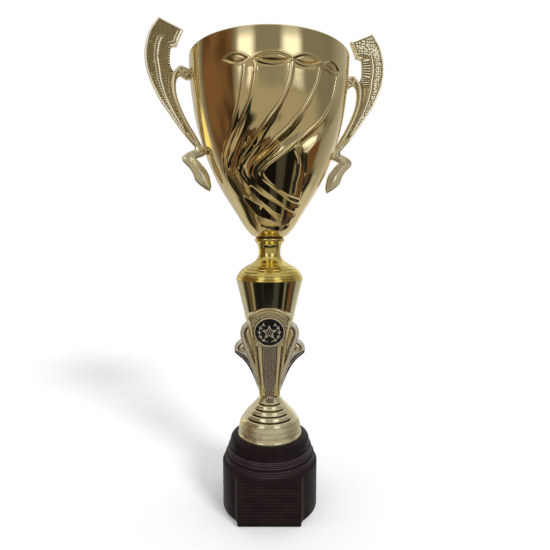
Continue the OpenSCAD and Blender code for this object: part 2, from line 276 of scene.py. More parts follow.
def finished(part, kind):
    """Turned part whose faces, row by row round the rod, take the finishes numbered in kind."""
    v, (f,), _ = part
    kind = kind.ravel()
    each = np.unique(kind)
    return v, [f[kind == q] for q in each], [int(q) for q in each]


def upright(angle, z0):
    """Places a plate in the upright plane through the rod: x outwards, y up."""
    c, s = math.cos(angle), math.sin(angle)
    return lambda v: np.c_[v[:, 0] * c + v[:, 2] * s, v[:, 0] * s - v[:, 2] * c, v[:, 1] + z0]


# ------------------------------------------------------------------ finishes


def new_material(name):
    m = bpy.data.materials.new(name)
    m.use_nodes = True
    nt = m.node_tree
    nt.nodes.clear()
    out = nt.nodes.new("ShaderNodeOutputMaterial")
    b = nt.nodes.new("ShaderNodeBsdfPrincipled")
    nt.links.new(b.outputs[0], out.inputs[0])
    return m, nt, b


def noise(nt, scale, detail=3.0, rough=0.55, stretch=None):
    co = nt.nodes.new("ShaderNodeTexCoord")
    n = nt.nodes.new("ShaderNodeTexNoise")
    n.inputs["Scale"].default_value = scale
    n.inputs["Detail"].default_value = detail
    n.inputs["Roughness"].default_value = rough
    if stretch:
        mp = nt.nodes.new("ShaderNodeMapping")
        mp.inputs["Scale"].default_value = stretch
        nt.links.new(co.outputs["Object"], mp.inputs["Vector"])
        nt.links.new(mp.outputs[0], n.inputs["Vector"])
    else:
        nt.links.new(co.outputs["Object"], n.inputs["Vector"])
    return n.outputs[0]


def ramp(nt, fac, stops):
    r = nt.nodes.new("ShaderNodeValToRGB")
    el = r.color_ramp.elements
    while len(el) < len(stops):
        el.new(0.5)
    for e, (p, c) in zip(el, stops):
        e.position = p
        e.color = (*c, 1.0)
    nt.links.new(fac, r.inputs[0])
    return r.outputs[0]


def spread(nt, fac, lo, hi):
    r = nt.nodes.new("ShaderNodeMapRange")
    r.inputs["From Min"].default_value = 0.3
    r.inputs["From Max"].default_value = 0.7
    r.inputs["To Min"].default_value = lo
    r.inputs["To Max"].default_value = hi
    nt.links.new(fac, r.inputs["Value"])
    return r.outputs[0]


def bump(nt, b, height, strength, distance):
    n = nt.nodes.new("ShaderNodeBump")
    n.inputs["Strength"].default_value = strength
    n.inputs["Distance"].default_value = distance
    nt.links.new(height, n.inputs["Height"])
    nt.links.new(n.outputs[0], b.inputs["Normal"])


def plated(name, deep, light, rough, scale=45.0, peel=(700.0, 0.05, 0.0002), metallic=1.0):
    """Plated metal: a slow drift of tone, clouded gloss and a fine orange peel."""
    m, nt, b = new_material(name)
    b.inputs["Metallic"].default_value = metallic
    nt.links.new(ramp(nt, noise(nt, scale, 4.0), [(0.3, deep), (0.7, light)]), b.inputs["Base Color"])
    nt.links.new(spread(nt, noise(nt, scale * 3.1, 5.0), *rough), b.inputs["Roughness"])
    bump(nt, b, noise(nt, peel[0], 2.0), peel[1], peel[2])
    return m


def solid(name, deep, light, rough, scale, peel, specular=0.5, stretch=None, coat=None, tint=None):
    m, nt, b = new_material(name)
    nt.links.new(ramp(nt, noise(nt, scale, 5.0, 0.6, stretch), [(0.3, deep), (0.7, light)]), b.inputs["Base Color"])
    nt.links.new(spread(nt, noise(nt, scale * 1.7, 4.0, 0.6, stretch), *rough), b.inputs["Roughness"])
    b.inputs["Specular IOR Level"].default_value = specular
    if tint:
        b.inputs["Specular Tint"].default_value = (*tint, 1.0)
    if coat:
        b.inputs["Coat Weight"].default_value = coat[0]
        b.inputs["Coat Roughness"].default_value = coat[1]
    bump(nt, b, noise(nt, peel[0], 3.0, 0.6, stretch), peel[1], peel[2])
    return m


M = {
    "bowl": plated("bowl_gold_mirror", (0.84, 0.66, 0.32), (0.88, 0.70, 0.35), (0.03, 0.065), 30.0, (160.0, 0.03, 0.0006)),
    "pale": plated("plated_pale_gold", (0.80, 0.69, 0.39), (0.85, 0.74, 0.44), (0.06, 0.11), 45.0),
    "foot": plated("foot_pale_gold", (0.86, 0.76, 0.46), (0.90, 0.81, 0.51), (0.06, 0.11), 45.0, metallic=0.91),
    "panel": plated("panel_satin_gold", (0.80, 0.68, 0.40), (0.86, 0.74, 0.46), (0.12, 0.20), 70.0, (900.0, 0.04, 0.0002)),
    "champ": plated("plated_champagne_gold", (0.79, 0.73, 0.59), (0.85, 0.79, 0.65), (0.16, 0.26), 60.0, (700.0, 0.05, 0.0002), 0.85),
    # painted shade: dark finish for the wings' grooves and under-edge hollows, where shade falls
    "shade": plated("champagne_painted_shade", (0.05, 0.045, 0.035), (0.09, 0.08, 0.06), (0.25, 0.38), 90.0),
    # painted shade: greyer, darker gold for the recessed knurled strip, the end of the foot's strip and the wing ridges
    # nearest the column
    "strip": plated("strip_grey_gold_painted_shade", (0.70, 0.62, 0.45), (0.80, 0.71, 0.53), (0.16, 0.26), 90.0),
    "bezel": plated("bezel_bright_gold", (0.86, 0.75, 0.47), (0.91, 0.81, 0.54), (0.20, 0.30), 90.0, (700.0, 0.05, 0.0002), 0.75),
    # deeper yellow than the other gold: partly the neck's own colour, partly a painted reflection of the gold bowl
    # above it
    "yellow": plated("plated_yellow_gold_painted_reflection", (0.84, 0.66, 0.16), (0.89, 0.72, 0.24), (0.06, 0.12), 60.0),
    # painted shade: near black for the cuts of the knurls, the crescent grooves and the groove round the disc
    "cut": plated("knurl_cuts_painted_shade", (0.075, 0.055, 0.035), (0.12, 0.09, 0.055), (0.25, 0.38), 160.0),
    # painted shade: darker tan for the cuts of the foot's knurled skirt
    "tan": plated("skirt_cuts_painted_shade", (0.36, 0.29, 0.15), (0.44, 0.36, 0.20), (0.16, 0.26), 160.0),
    "handle": plated("handle_gold", (0.76, 0.65, 0.38), (0.84, 0.73, 0.46), (0.13, 0.21), 120.0, (1200.0, 0.04, 0.0002), 0.90),
    # painted shade: darker ground for the field between the handles' relief
    "ground": plated("handle_ground_painted_shade", (0.40, 0.29, 0.12), (0.48, 0.36, 0.16), (0.20, 0.30), 160.0, (1200.0, 0.04, 0.0002), 0.95),
    # painted highlight: pale, less metallic finish for the relief's crests and the border line
    "crest": plated("handle_crests_painted_highlight", (0.93, 0.86, 0.61), (0.97, 0.91, 0.69), (0.18, 0.28), 160.0, (1200.0, 0.04, 0.0002), 0.55),
    "steel": plated("zinc_plated_steel", (0.50, 0.51, 0.53), (0.62, 0.63, 0.66), (0.22, 0.38), 220.0),
    "iron": plated("cast_iron", (0.10, 0.10, 0.105), (0.18, 0.175, 0.17), (0.45, 0.65), 120.0, (600.0, 0.4, 0.0006)),
    "gilt": solid("emblem_gilt_print", (0.30, 0.26, 0.18), (0.42, 0.37, 0.26), (0.25, 0.40), 400.0, (900.0, 0.05, 0.0002), 0.6),
    "dark": solid("plinth_dark_satin", (0.0060, 0.0038, 0.0037), (0.0135, 0.0086, 0.0080), (0.44, 0.58), 55.0, (420.0, 0.18, 0.0005), 0.24, (1.0, 1.0, 2.4), tint=(1.0, 0.68, 0.68)),
    # painted highlight: lighter finish for the crests of the cap's tiers
    "ridge": solid("cap_ridge_painted_highlight", (0.034, 0.0245, 0.0250), (0.050, 0.0375, 0.0380), (0.32, 0.44), 55.0, (380.0, 0.12, 0.0004), 0.34, (1.0, 1.0, 3.0), tint=(1.0, 0.74, 0.74)),
    "cap": solid("cap_dark_satin", (0.0052, 0.0034, 0.0034), (0.0110, 0.0072, 0.0070), (0.36, 0.48), 55.0, (380.0, 0.12, 0.0004), 0.16, (1.0, 1.0, 3.0), tint=(1.0, 0.68, 0.70)),
    "black": solid("emblem_black_enamel", (0.004, 0.0035, 0.003), (0.009, 0.008, 0.007), (0.16, 0.26), 300.0, (900.0, 0.05, 0.0002), 0.25),
    "felt": solid("felt_black", (0.010, 0.010, 0.012), (0.030, 0.030, 0.034), (0.85, 1.0), 900.0, (2600.0, 0.8, 0.0008), 0.2),
    "board": solid("hardboard_brown", (0.10, 0.055, 0.026), (0.20, 0.12, 0.062), (0.6, 0.8), 240.0, (1400.0, 0.4, 0.0004), 0.3),
    "fibre": solid("fibre_black", (0.012, 0.012, 0.012), (0.030, 0.029, 0.028), (0.6, 0.8), 500.0, (1600.0, 0.4, 0.0003), 0.3),
}

# ------------------------------------------------------------------ bowl

Z_BOWL = 252.8
bowl_line = curve([[12.8, 0], [14.8, 1.2], [17.1, 2.8], [23, 10], [29.5, 20.5], [36.5, 31.5], [43, 42], [48.5, 52.5], [53, 62.5], [57, 73],
                   [60.5, 84], [63.5, 95], [66, 107], [67.8, 120], [69.2, 132], [69.9, 144], [70, 153.2]], 24)
bowl_line[:, 1] += Z_BOWL


def bowl_at(z):
    return np.interp(z, bowl_line[:, 1], bowl_line[:, 0])


# Folds of the pressed drapery: angle from the bowl's front in degrees, height in mm less 1.2
FOLDS = [
    [(-24, 382), (-24.5, 374), (-26.5, 364), (-28.5, 355), (-32, 346), (-36.5, 336.5), (-41.5, 329.5), (-46.5, 324), (-51, 319),
     (-54.5, 314.5), (-57.5, 309), (-60, 303), (-61, 296)],
    [(-17.5, 382), (-17.4, 374), (-18.4, 367), (-20.7, 357.5), (-25.2, 346.5), (-32.5, 335.5), (-42, 324), (-50, 314), (-55, 306),
     (-57, 298.5), (-54.5, 291.5), (-49.5, 285), (-44, 280), (-36.5, 274.5), (-26, 269.5), (-12, 265), (8.5, 262), (40, 261)],
    [(-28, 331), (-31, 325), (-34, 320.5), (-38, 315), (-41, 310), (-44, 306), (-45.4, 301.5), (-44.4, 296.5), (-40.2, 291.7),
     (-34.4, 287.5), (-26.4, 283), (-17, 278), (-6.5, 273.7), (6.5, 270), (19.5, 267.6), (40, 266.4)],
    [(6, 382), (5.6, 374), (4.7, 368), (3, 361), (0.3, 354.5), (-3.5, 348), (-7.6, 342.4), (-11.8, 337), (-16.5, 331.5), (-24.7, 322.5),
     (-31, 316.5), (-36, 311), (-39, 305.6), (-38.6, 300.6), (-34.3, 296), (-28.7, 292.5), (-21.8, 289), (-13.3, 285.6), (-4, 282),
     (7.2, 278.2), (20.7, 275.5), (40, 274.2)],
    [(26, 382), (25.4, 376), (24.3, 369), (21.7, 362), (18.4, 354.7), (14.6, 348), (10.5, 342), (6.3, 336), (1.2, 331), (-4.2, 326.5),
     (-10.5, 321), (-18.7, 314.4), (-24.8, 309), (-27.8, 305), (-27.5, 300.8), (-23.4, 296.3), (-17.7, 292.3), (-10.5, 288.7),
     (-1.4, 284.8), (9.4, 281.2), (21, 278.8), (40, 277.6)],
    [(44, 382), (43, 370.5), (40.8, 360.5), (37, 352), (32.5, 344.5), (27, 338.3), (21.3, 333), (15.8, 327.7), (9, 321.6), (2.2, 316.6),
     (-5, 312.2), (-11.4, 308), (-15.3, 303.7), (-14.5, 300), (-9.5, 295.6), (-2.2, 291.7), (7, 288.3), (18.2, 285.4), (40, 283)],
]
NEXT = [1, 3, 3, 4, 5, None]
STRENGTH = [0.45, 1.0, 0.85, 1.0, 1.0, 1.0]
# hollow channels between the lower ridges: middle line as above, half width in mm at its start, middle and end
CHANNELS = [
    ([(-1.3, 323.8), (-7.5, 317.7), (-13.5, 312.7), (-19.2, 308.1), (-21.8, 304.5), (-21.6, 300.8), (-18.7, 296.7), (-12.7, 292.5),
      (-5.9, 288.9), (3.2, 285.0), (14.2, 281.2), (25.3, 279.1), (37.8, 278.6)], (0.7, 3.0, 1.9)),
    ([(-29.4, 291.8), (-22.9, 286.8), (-16.0, 283.0), (-8.2, 279.7), (0.8, 276.6), (11.3, 274.0), (23.9, 271.7), (36.6, 270.6)], (1.8, 3.5, 2.4)),
    ([(-42.2, 284.4), (-36.9, 280.5), (-29.5, 276.4), (-21.1, 272.8), (-11.5, 269.8), (1.5, 266.5)], (1.8, 4.5, 1.4)),
    ([(-25.9, 262.0), (-14.9, 260.4), (2.2, 259.3), (21.3, 259.2), (33.6, 261.0)], (1.1, 2.3, 2.0)),
    ([(-33.4, 307.2), (-33.6, 302.7), (-31.5, 298.4)], (0.7, 1.5, 0.7)),
    ([(-39.8, 307.0), (-41.6, 301.6), (-40.6, 296.5)], (0.6, 1.2, 0.6)),
]
# the leaf's vein and its right edge: height, angle
VEIN = ((284, 289.3, 296.2, 302.3, 309.7, 314.7, 320.2, 326), (22.5, 21.4, 20.5, 21.2, 20.0, 17.6, 13.3, 9.0))
LEAF_EDGE = ((284.2, 291.3, 300.5, 310.2, 317.4, 323.6, 330), (33.4, 32.0, 30.0, 26.4, 23.7, 19.0, 15.0))
# middle and half width in degrees, height of the middle, slant in mm per mm, amount
LENSES = [(-30.5, 7.3, 384.2, -0.06, 0.8), (-6.4, 10.0, 383.6, 0.0, 1.0), (15.8, 8.8, 384.2, 0.06, 1.0), (36.6, 7.2, 384.2, -0.08, 0.8)]


def fold_heights(phi, rows, R, slope):
    """Relief in mm on a net of angles (degrees) and profile heights, outward positive."""
    H = np.zeros((len(rows), len(phi)))
    lines = [curve(f, 8) for f in FOLDS]
    turn = int(lines[5][:, 0].argmin())
    for i, z in enumerate(rows):
        r, k = R[i], slope[i]
        P = np.c_[np.radians(phi) * r, np.full(len(phi), z * k)]
        h = np.zeros(len(phi))
        if 254 < z < 386:
            low = smooth(352, 325, z)
            start = smooth(383.5, 377, z) * smooth(254, 259, z)
            blunt = 1 - smooth(34, 39, phi) * smooth(296, 290, z)
            flat = [np.c_[np.radians(q[:, 0]) * r, q[:, 1] * k] for q in lines]
            found = [along(P, q) for q in flat]
            for n, (d, s, side) in enumerate(found):
                d = d * side
                fade = start * blunt * STRENGTH[n]
                if n == 0:
                    fade = fade * smooth(297, 312, z)
                if n == 2:
                    fade = fade * smooth(331, 321, z)
                # narrow channels between broad leaning ribbons above, broad channels between narrow ridges below
                wide = np.full(len(phi), 12.0) if NEXT[n] is None else np.abs(d) + found[NEXT[n]][0]
                broad = smooth(322, 300, z)
                valley = (2.4 + 0.8 * low) * (1 - broad) + np.clip(0.64 * wide, 2.0, 7.0) * broad
                deep = (0.9 + 2.1 * low) * (1 - broad) + np.interp(z, [262, 284, 296, 304, 312], [0.20, 0.165, 0.10, 0.06, 0.03]) * valley * broad * smooth(296, 306, z)
                tail = np.clip(wide - valley - 0.6, 1.6, 22.0)
                near = np.clip(d / valley, 0, 1)
                near = np.sin(0.5 * math.pi * near) * (1 - broad) + near * broad
                far = 1 - np.clip((d - valley) / tail, 0, 1)
                far = (1 - (1 - far) ** 1.7) * (1 - broad) + np.sin(0.5 * math.pi * far) * broad
                if n == 5:
                    deep = deep * (1 - broad)
                h -= fade * deep * np.where(d <= 0, 0.0, np.where(d < valley, near, far))
                # lip on the crest and the fine line beside it
                h += fade * 0.16 * np.exp(-((d + 0.4) / 0.9) ** 2) * (1 - 0.8 * broad)
                h -= fade * 0.9 * np.clip(0.62 - np.abs(d + 2.0), 0, 1) * smooth(296, 312, z)
                if n == 5:
                    # hollow leaf between the two arms of the last fold, with one thin vein
                    leaf = smooth(0.0, 1.6, d) * smooth(1.5, -1.5, phi - np.interp(z, *LEAF_EDGE)) * smooth(331, 322, z)
                    x = np.radians(phi - np.interp(z, *VEIN)) * r
                    h = h * (1 - leaf) + leaf * (0.0033 * ((z - 308) * k) ** 2 - 1.3 + 0.75 * np.exp(-(x / 1.3) ** 2) * smooth(0, 5, d))
            lean = np.interp(z, [256, 262, 270, 284, 290, 296, 302, 308, 316], [0.34, 0.27, 0.19, 0.178, 0.155, 0.09, 0.05, 0.0, -0.04])
            for line, half in CHANNELS:
                if min(q[1] for q in line) - 7 < z < max(q[1] for q in line) + 7:
                    q = curve(line, 6)
                    q = np.c_[np.radians(q[:, 0]) * r, q[:, 1] * k]
                    d, t, side = along(P, q)
                    w = np.interp(t / np.hypot(*np.diff(q, axis=0).T).sum(), [0, 0.5, 1], half)
                    m = smooth(w + 0.7, w - 0.25, d)
                    h = h * (1 - m) - m * lean * (d * side + w)
        if 374 < z < 394:
            for c, half, zc, slant, amount in LENSES:
                x = np.radians(phi - c) * r
                a = math.radians(half) * r
                g = 2.6 * (1 - (x / a) ** 2) - np.abs(z - zc - slant * x) * k
                h += amount * (0.22 * np.exp(-((g + 1.9) / 0.7) ** 2) - np.clip(0.9 - np.abs(g), 0, 2) - (1.15 - 0.28 * (z - zc - slant * x) * k) * smooth(0.0, 0.6, g))
        H[i] = h
    return H


def make_bowl():
    dense = np.arange(-68, 52.01, 0.28)
    gap = np.arange(53.5, 111.1, 1.5)
    phi = np.r_[dense, gap, dense + 180, gap + 180]
    s = np.r_[0, np.cumsum(np.hypot(*np.diff(bowl_line, axis=0).T))]
    zs = np.interp(np.arange(0, s[-1], 0.45), s, bowl_line[:, 1])
    zs = np.unique(np.r_[zs[(zs < 378) | (zs > 392)], np.arange(378, 392.01, 0.32), bowl_line[-1, 1] - 1.4])
    zs = zs[zs <= bowl_line[-1, 1] - 1.39]
    R = bowl_at(zs)
    g = (bowl_at(zs + 0.3) - bowl_at(zs - 0.3)) / (np.minimum(zs + 0.3, bowl_line[-1, 1]) - np.maximum(zs - 0.3, bowl_line[0, 1]))
    nr, nz = 1 / np.hypot(1, g), -g / np.hypot(1, g)
    one = fold_heights(dense, zs - 1.2, R, np.hypot(1, g))
    H = np.zeros((len(zs), len(phi)))
    n = len(dense)
    H[:, :n] = one
    H[:, n + len(gap):2 * n + len(gap)] = one
    out_r = R[:, None] + H * nr[:, None]
    out_z = zs[:, None] + H * nz[:, None]
    pick = np.unique(np.r_[np.arange(4, len(zs), 3), len(zs) - 1])[::-1]
    wall = 1.0
    in_r = R[pick, None] + (H[pick] - wall) * nr[pick, None]
    in_z = zs[pick, None] + (H[pick] - wall) * nz[pick, None]
    ring = lambda r, z: (np.full((1, len(phi)), float(r)), np.full((1, len(phi)), float(z)))
    rim_c, rim_z, rim_r = 69.0, Z_BOWL + 153.7, 1.0
    bead = [ring(rim_c + rim_r * math.cos(a), rim_z + rim_r * math.sin(a)) for a in np.radians(np.arange(-8, 200, 16))]
    foot = [ring(3.3, Z_BOWL), ring(8, Z_BOWL), ring(12.2, Z_BOWL)]
    floor = [ring(13.0, Z_BOWL + 1.25), ring(12.0, Z_BOWL + 1.0), ring(8, Z_BOWL + 1.0), ring(3.3, Z_BOWL + 1.0)]
    keep = in_z.mean(1) > Z_BOWL + 1.9
    stack = foot + [(out_r, out_z)] + bead + [(in_r[keep], in_z[keep])] + floor
    RR, ZZ = np.vstack([a for a, _ in stack]), np.vstack([b for _, b in stack])
    a = np.radians(phi) - math.pi / 2 + TURN
    v = np.stack([RR * np.cos(a), RR * np.sin(a), ZZ], -1).reshape(-1, 3)
    return build("bowl_pressed", [(v, [quads(len(RR), len(phi), True, True)], 0)], [M["bowl"]], 60)


# ------------------------------------------------------------------ handles

h_outer = curve([[94.5, 184.6], [101, 175.4], [104.4, 167], [106.4, 157], [106.4, 149], [105.2, 141], [102.8, 133.4], [99.5, 126],
                 [95.5, 118], [89.4, 109], [83.6, 100.6], [78, 92.8], [72.5, 86], [66, 78.6]], 8)
h_knee = curve([[66.4, 76.4], [73, 73.5], [76.8, 69.8], [76.4, 66], [71, 60.4], [67.8, 55], [66.4, 50.6], [63.4, 47],
                [58.2, 43], [53.4, 40.4]], 8)
h_leaf = curve([[52.2, 45], [54.6, 56], [60.6, 64.2], [65.2, 68.6]], 8)
h_inner = curve([[60.5, 80.8], [65.6, 89.6], [70.6, 98], [76, 108.6], [80, 119.6], [81.2, 128.8], [80.6, 134.6], [78.4, 137.6],
                 [75.6, 136.8], [72.8, 135.2], [68, 135.4]], 8)
h_hook = curve([[68, 143], [73, 145.6], [77.6, 146.4], [80.6, 143.6], [83, 141.6], [84.8, 144.4], [85.8, 148], [85.9, 152.6],
                [85.5, 157.4], [84.4, 161.2], [80, 162.4]], 8)
h_head = np.array([[78.4, 166.8], [76.2, 171.6], [74.3, 175.9], [79.4, 178], [87, 181.3]], float)
h_outline = np.vstack([h_outer, h_knee, h_leaf, [[58, 71.4], [54, 73], [54, 77]], h_inner, h_hook, h_head])
h_outline[:, 0] = np.maximum(h_outline[:, 0], bowl_at(h_outline[:, 1] + Z_BOWL) + 0.12)
# inner side of the broad arm: head, hollow edge, then the strap's outer side
h_side = curve([[74.3, 175.9], [76.2, 171.6], [78.4, 166.8], [80, 162.4], [84.4, 161.2], [85.5, 157.4], [85.9, 152.6], [85.8, 148],
                [85, 144.4], [85.2, 140], [85.9, 133], [85.5, 126], [83.6, 117.5], [79.6, 107], [74.2, 96], [68.6, 86.6], [64, 80]], 8)
h_strap = curve([[77.4, 144.2], [80.6, 141.2], [82.8, 137.4], [83.7, 132], [83.4, 126], [81.7, 118], [77.8, 107.6], [72.4, 96.8],
                 [66.8, 87.6], [62.4, 81]], 8)
h_top = np.array([[74.3, 175.9], [79.4, 178], [87, 181.3], [94.5, 184.6]], float)
h_curl = curve([[79.6, 143.4], [77.4, 141.2], [76.2, 138.6], [73.6, 137.2], [71.2, 138.4], [71.2, 140.9], [73.4, 141.8], [74.8, 140.2]], 8)


def handle_half(P, d, bold):
    """Half thickness of a handle at points of its plane. bold is 1 on the richly cast face and 0 on the plainer one."""
    y = P[:, 1]
    do, so, _ = along(P, h_outer)
    di, si, _ = along(P, h_side)
    ds, ss, _ = along(P, h_strap)
    dt = along(P, h_top)[0]
    dc = along(P, h_curl)[0]
    wide = do + di
    t = do / np.maximum(wide, 1e-6)
    edge = 0.60 + 0.40 * dome(1 - np.clip(d / 0.9, 0, 1))
    # field of the broad arm
    arm = 2.1 + (0.008 + 0.03 * bold) * grain(P, 1.0, 1)
    head = smooth(161, 168, y)
    blobs = pebbles(P, 2.2, 3) * smooth(2.2, 3.4, do) * smooth(2.0, 3.2, di) * smooth(1.6, 2.8, dt)
    arm = arm + head * (0.80 * bold + 0.05) * blobs
    # beaded line and smooth ridge down the middle
    mid = smooth(171, 165, y) * smooth(88, 98, y)
    beads = 0.5 + 0.5 * np.cos(2 * math.pi * so / 2.1)
    line_at = 0.40 - 0.06 * bold
    r1 = smooth(0.85, 0.45, np.abs(t - line_at) * wide)
    arm = arm + mid * (1 - bold) * r1 * (0.35 + 0.6 * smooth(0.25, 0.6, beads))
    pebble = pebbles(P, 2.0, 5)
    band = smooth(0.13, 0.19, t) * smooth(0.46, 0.40, t) * smooth(176, 168, y) * smooth(93, 99, y)
    arm = arm + bold * band * (0.15 + 0.85 * pebble)
    dots = smooth(0.5, 0.72, grain(P, 2.2, 7)) * smooth(0.12, 0.2, t) * smooth(0.36, 0.3, t)
    arm = arm + (1 - bold) * mid * 0.5 * dots
    r2 = smooth(0.85, 0.45, np.abs(t - 0.53) * wide)
    arm = arm + mid * r2 * 0.95
    arm = arm - mid * 0.30 * np.exp(-(((t - 0.47) * wide) / 0.45) ** 2)
    # cross ribs along the hollow edge, then small beads further down
    rib = smooth(0.60, 0.67, t) * smooth(163.5, 161, y) * smooth(134, 140, y)
    arm = arm + rib * (0.32 + 0.68 * bold) * (np.abs(np.cos(math.pi * si / 2.1)) - 0.35)
    tail = smooth(142, 134, y) * smooth(92, 100, y)
    b = np.exp(-(((t - 0.74) * wide) / 0.7) ** 2) * np.clip(np.cos(2 * math.pi * so / 2.1 + 0.6), 0, 1)
    arm = arm + tail * 0.55 * b
    b = np.exp(-(((t - 0.26) * wide) / 0.7) ** 2) * np.clip(np.cos(2 * math.pi * so / 2.5), 0, 1)
    arm = arm + tail * (1 - bold) * 0.6 * b
    # smooth raised borders
    arm = np.where(do < 2.0, 2.1 + 0.95 * smooth(2.0, 1.5, do), arm)
    arm = np.where(dt < 1.5, np.maximum(2.1 + 1.1 * dome((dt - 0.75) / 0.75), arm), arm)
    side_b = (di < 1.7) & (y > 161.5)
    arm = np.where(side_b, np.maximum(2.1 + 1.1 * dome((di - 0.85) / 0.85), arm), arm)
    inner_line = np.exp(-((di - 3.4) / 0.55) ** 2) * smooth(162, 165, y) * smooth(177, 173, y)
    arm = arm + 0.8 * (1 - bold) * inner_line
    edge_beads = np.exp(-((di - 0.9) / 0.65) ** 2) * smooth(162.5, 160, y) * smooth(139, 143, y)
    arm = arm + 0.6 * edge_beads * (0.5 + 0.5 * np.cos(2 * math.pi * si / 2.1))
    # strap, curl and the lower bar and leaf
    strap = 3.35 * dome(np.clip(ds / 2.5, 0, 1)) + 0.15
    lower = 1.5 + 0.30 * np.minimum(d, 5.5)
    hook = 2.0 + 1.3 * dome(np.clip(dc / 1.15, 0, 1)) - 0.4 * np.exp(-((dc - 1.5) / 0.5) ** 2)
    in_strap = (ds < 2.5) & (y > 78)
    in_hook = (P[:, 0] < 79.6) & (y > 134) & (y < 148)
    h = np.where(in_hook, hook, arm)
    h = np.where(in_strap, np.maximum(strap, np.where(in_hook, hook, 1.2)), h)
    h = h - 0.3 * np.exp(-((ds - 2.7) / 0.45) ** 2) * (y > 82) * (di < 4)
    b = smooth(90, 80, y)
    h = h * (1 - b) + lower * b
    return np.clip(h, 0.4, 3.5) * edge


def handle_finish(P):
    """Painted highlight on the crests and along the border, painted shade on the darker ground over the broad arm,
    plain elsewhere.
    """
    d = along(P, closed(h_outline))[0]
    y = P[:, 1]
    arm = (y > 90) & (along(P, h_strap)[0] > 2.5) & ~((P[:, 0] < 79.6) & (y > 134) & (y < 148))
    do = along(P, h_outer)[0]
    # painted highlight: a bright line along the outer border
    rim = np.abs(do - 1.15) < 0.6
    pick = lambda bold: np.where(arm, np.where(np.where(do < 2.2, rim, handle_half(P, d, bold) > 2.62), 1, 2), 0)
    return pick(1.0), pick(0.0)


def make_handle(name, angle):
    part = plate(h_outline, lambda P, d: handle_half(P, d, 1.0), lambda P, d: handle_half(P, d, 0.0), 0.38, upright(angle, Z_BOWL), rings=(0.5, 1.2), pick=handle_finish)
    return build(name, [part], [M["handle"], M["crest"], M["ground"]], 50)


# ------------------------------------------------------------------ stem

Z_CAP, Z_FOOT, Z_COL, Z_NECK = 45.0, 68.0, 104.6, 214.4


def column_r(h):
    u = np.asarray(h, float) / 109.8
    return 9.7 + 21.1 * (0.69 * u + 0.31 * u * u)


def make_column():
    h = np.linspace(0, 109.8, 64)
    outer = np.c_[column_r(h), h]
    outer[0, 0] -= 0.15
    hi = np.linspace(109.8, 6, 26)
    inner = np.c_[column_r(hi) - 2.2, hi]
    loop = np.vstack([outer, inner, [[3.3, 6], [3.3, 0]]])
    return build("column_flared", [turned(loop, 200, Z_COL)], [M["pale"]], 35)


# height over the foot's lower edge and the end's angle from the front
CRESCENTS = ((17.3, 62.0), (21.6, 58.0), (25.6, 56.0), (29.9, 56.0))


def make_foot():
    low = eased([[26.8, 0], [30.1, 0], [30.1, 1.6], [29.8, 2.2], [29.4, 2.4], [29.4, 3.2]], 0.35)
    up = curve([[29.4, 3.2], [28.6, 9.4], [27.2, 13.8], [24.9, 17.6], [22, 21.4], [18.4, 25.2], [15.1, 28.8], [12, 32.4], [10.3, 34.8], [9.8, 36], [9.7, 36.6]], 10)
    up = resample(up, 0.24)
    s = np.r_[0, np.cumsum(np.hypot(*np.diff(up, axis=0).T))]
    g = np.gradient(up, axis=0)
    nrm = np.c_[g[:, 1], -g[:, 0]] / np.hypot(*g.T)[:, None]
    at = lambda z: np.interp(z, up[:, 1], s)
    inner = curve([[10.6, 30.2], [13.4, 27.2], [16.8, 23.7], [20.2, 20.1], [22.9, 16.5], [25, 12.9], [26.4, 8.9], [26.8, 0]], 4)
    inner = inner[inner[:, 1] < 28.9]
    loop = np.vstack([low[1:], up[1:], [[3.3, 36.6], [3.3, 29.5], [10.4, 29]], inner])
    k0, k1 = len(low) - 1, len(low) + len(up) - 2
    z = up[1:, 1]
    cut = smooth(3.8, 4.6, z) * smooth(15.4, 14.2, z)

    def move(R, Z, a):
        # crescent cuts over the front and the back
        off = np.abs(np.degrees(np.abs(a)) % 180 - 90)[None, :]
        h = np.zeros((len(z), len(a)))
        for zc, end in CRESCENTS:
            m = smooth(end + 2, end - 14, off)
            x = (s[1:] - at(zc))[:, None]
            h += m * 0.5 * np.exp(-((x + 0.5) / 1.0) ** 2) - np.clip(1.05 * m - np.abs(x - 1.5), 0, 2)
        w = a[None, :] / (2 * math.pi) * 84
        v = s[1:, None] / 2.05
        h += cut[:, None] * 0.27 * (knurl(w + v, w - v) - 0.5)
        # end of the knurled strip at the top
        u = np.radians(np.degrees(np.abs(a)) % 180 - 90)[None, :] * 10.5 / 2.5
        v = s[1:, None] / 2.5
        h += smooth(32.2, 33.0, z)[:, None] * smooth(23, 20, off) * (0.6 * knurl(u + v, u - v) - 0.5)
        R[k0:k1] += h * nrm[1:, :1]
        Z[k0:k1] += h * nrm[1:, 1:]
        return R, Z

    # painted shade: darker finishes in the cuts of the knurled skirt, in the crescent grooves and in the cuts at the
    # end of the strip, which itself takes the strip gold
    w = np.arange(756)[None, :] / 756 * 84
    v = s[1:, None] / 2.05
    kind = np.zeros((len(loop), 756), int)
    kind[k0:k1][(knurl(w + v, w - v) < 0.17) & (cut[:, None] > 0.5)] = 1
    off = np.degrees(np.arange(756)[None, :] / 756 * 2 * math.pi) % 180 - 90
    for zc, end in CRESCENTS:
        m = smooth(end + 2, end - 14, np.abs(off))
        kind[k0:k1][1.05 * m - np.abs((s[1:] - at(zc))[:, None] - 1.5) > 0.42] = 3
    u = np.radians(off) * 10.5 / 2.5
    v = s[1:, None] / 2.5
    end = (z[:, None] > 32.6) & (np.abs(off) < 21)
    kind[k0:k1][end] = 2
    kind[k0:k1][end & (knurl(u + v, u - v) < 0.30)] = 3
    return build("foot_dome_turned", [finished(turned(loop, 756, Z_FOOT, move), kind)], [M["foot"], M["tan"], M["strip"], M["cut"]], 60)


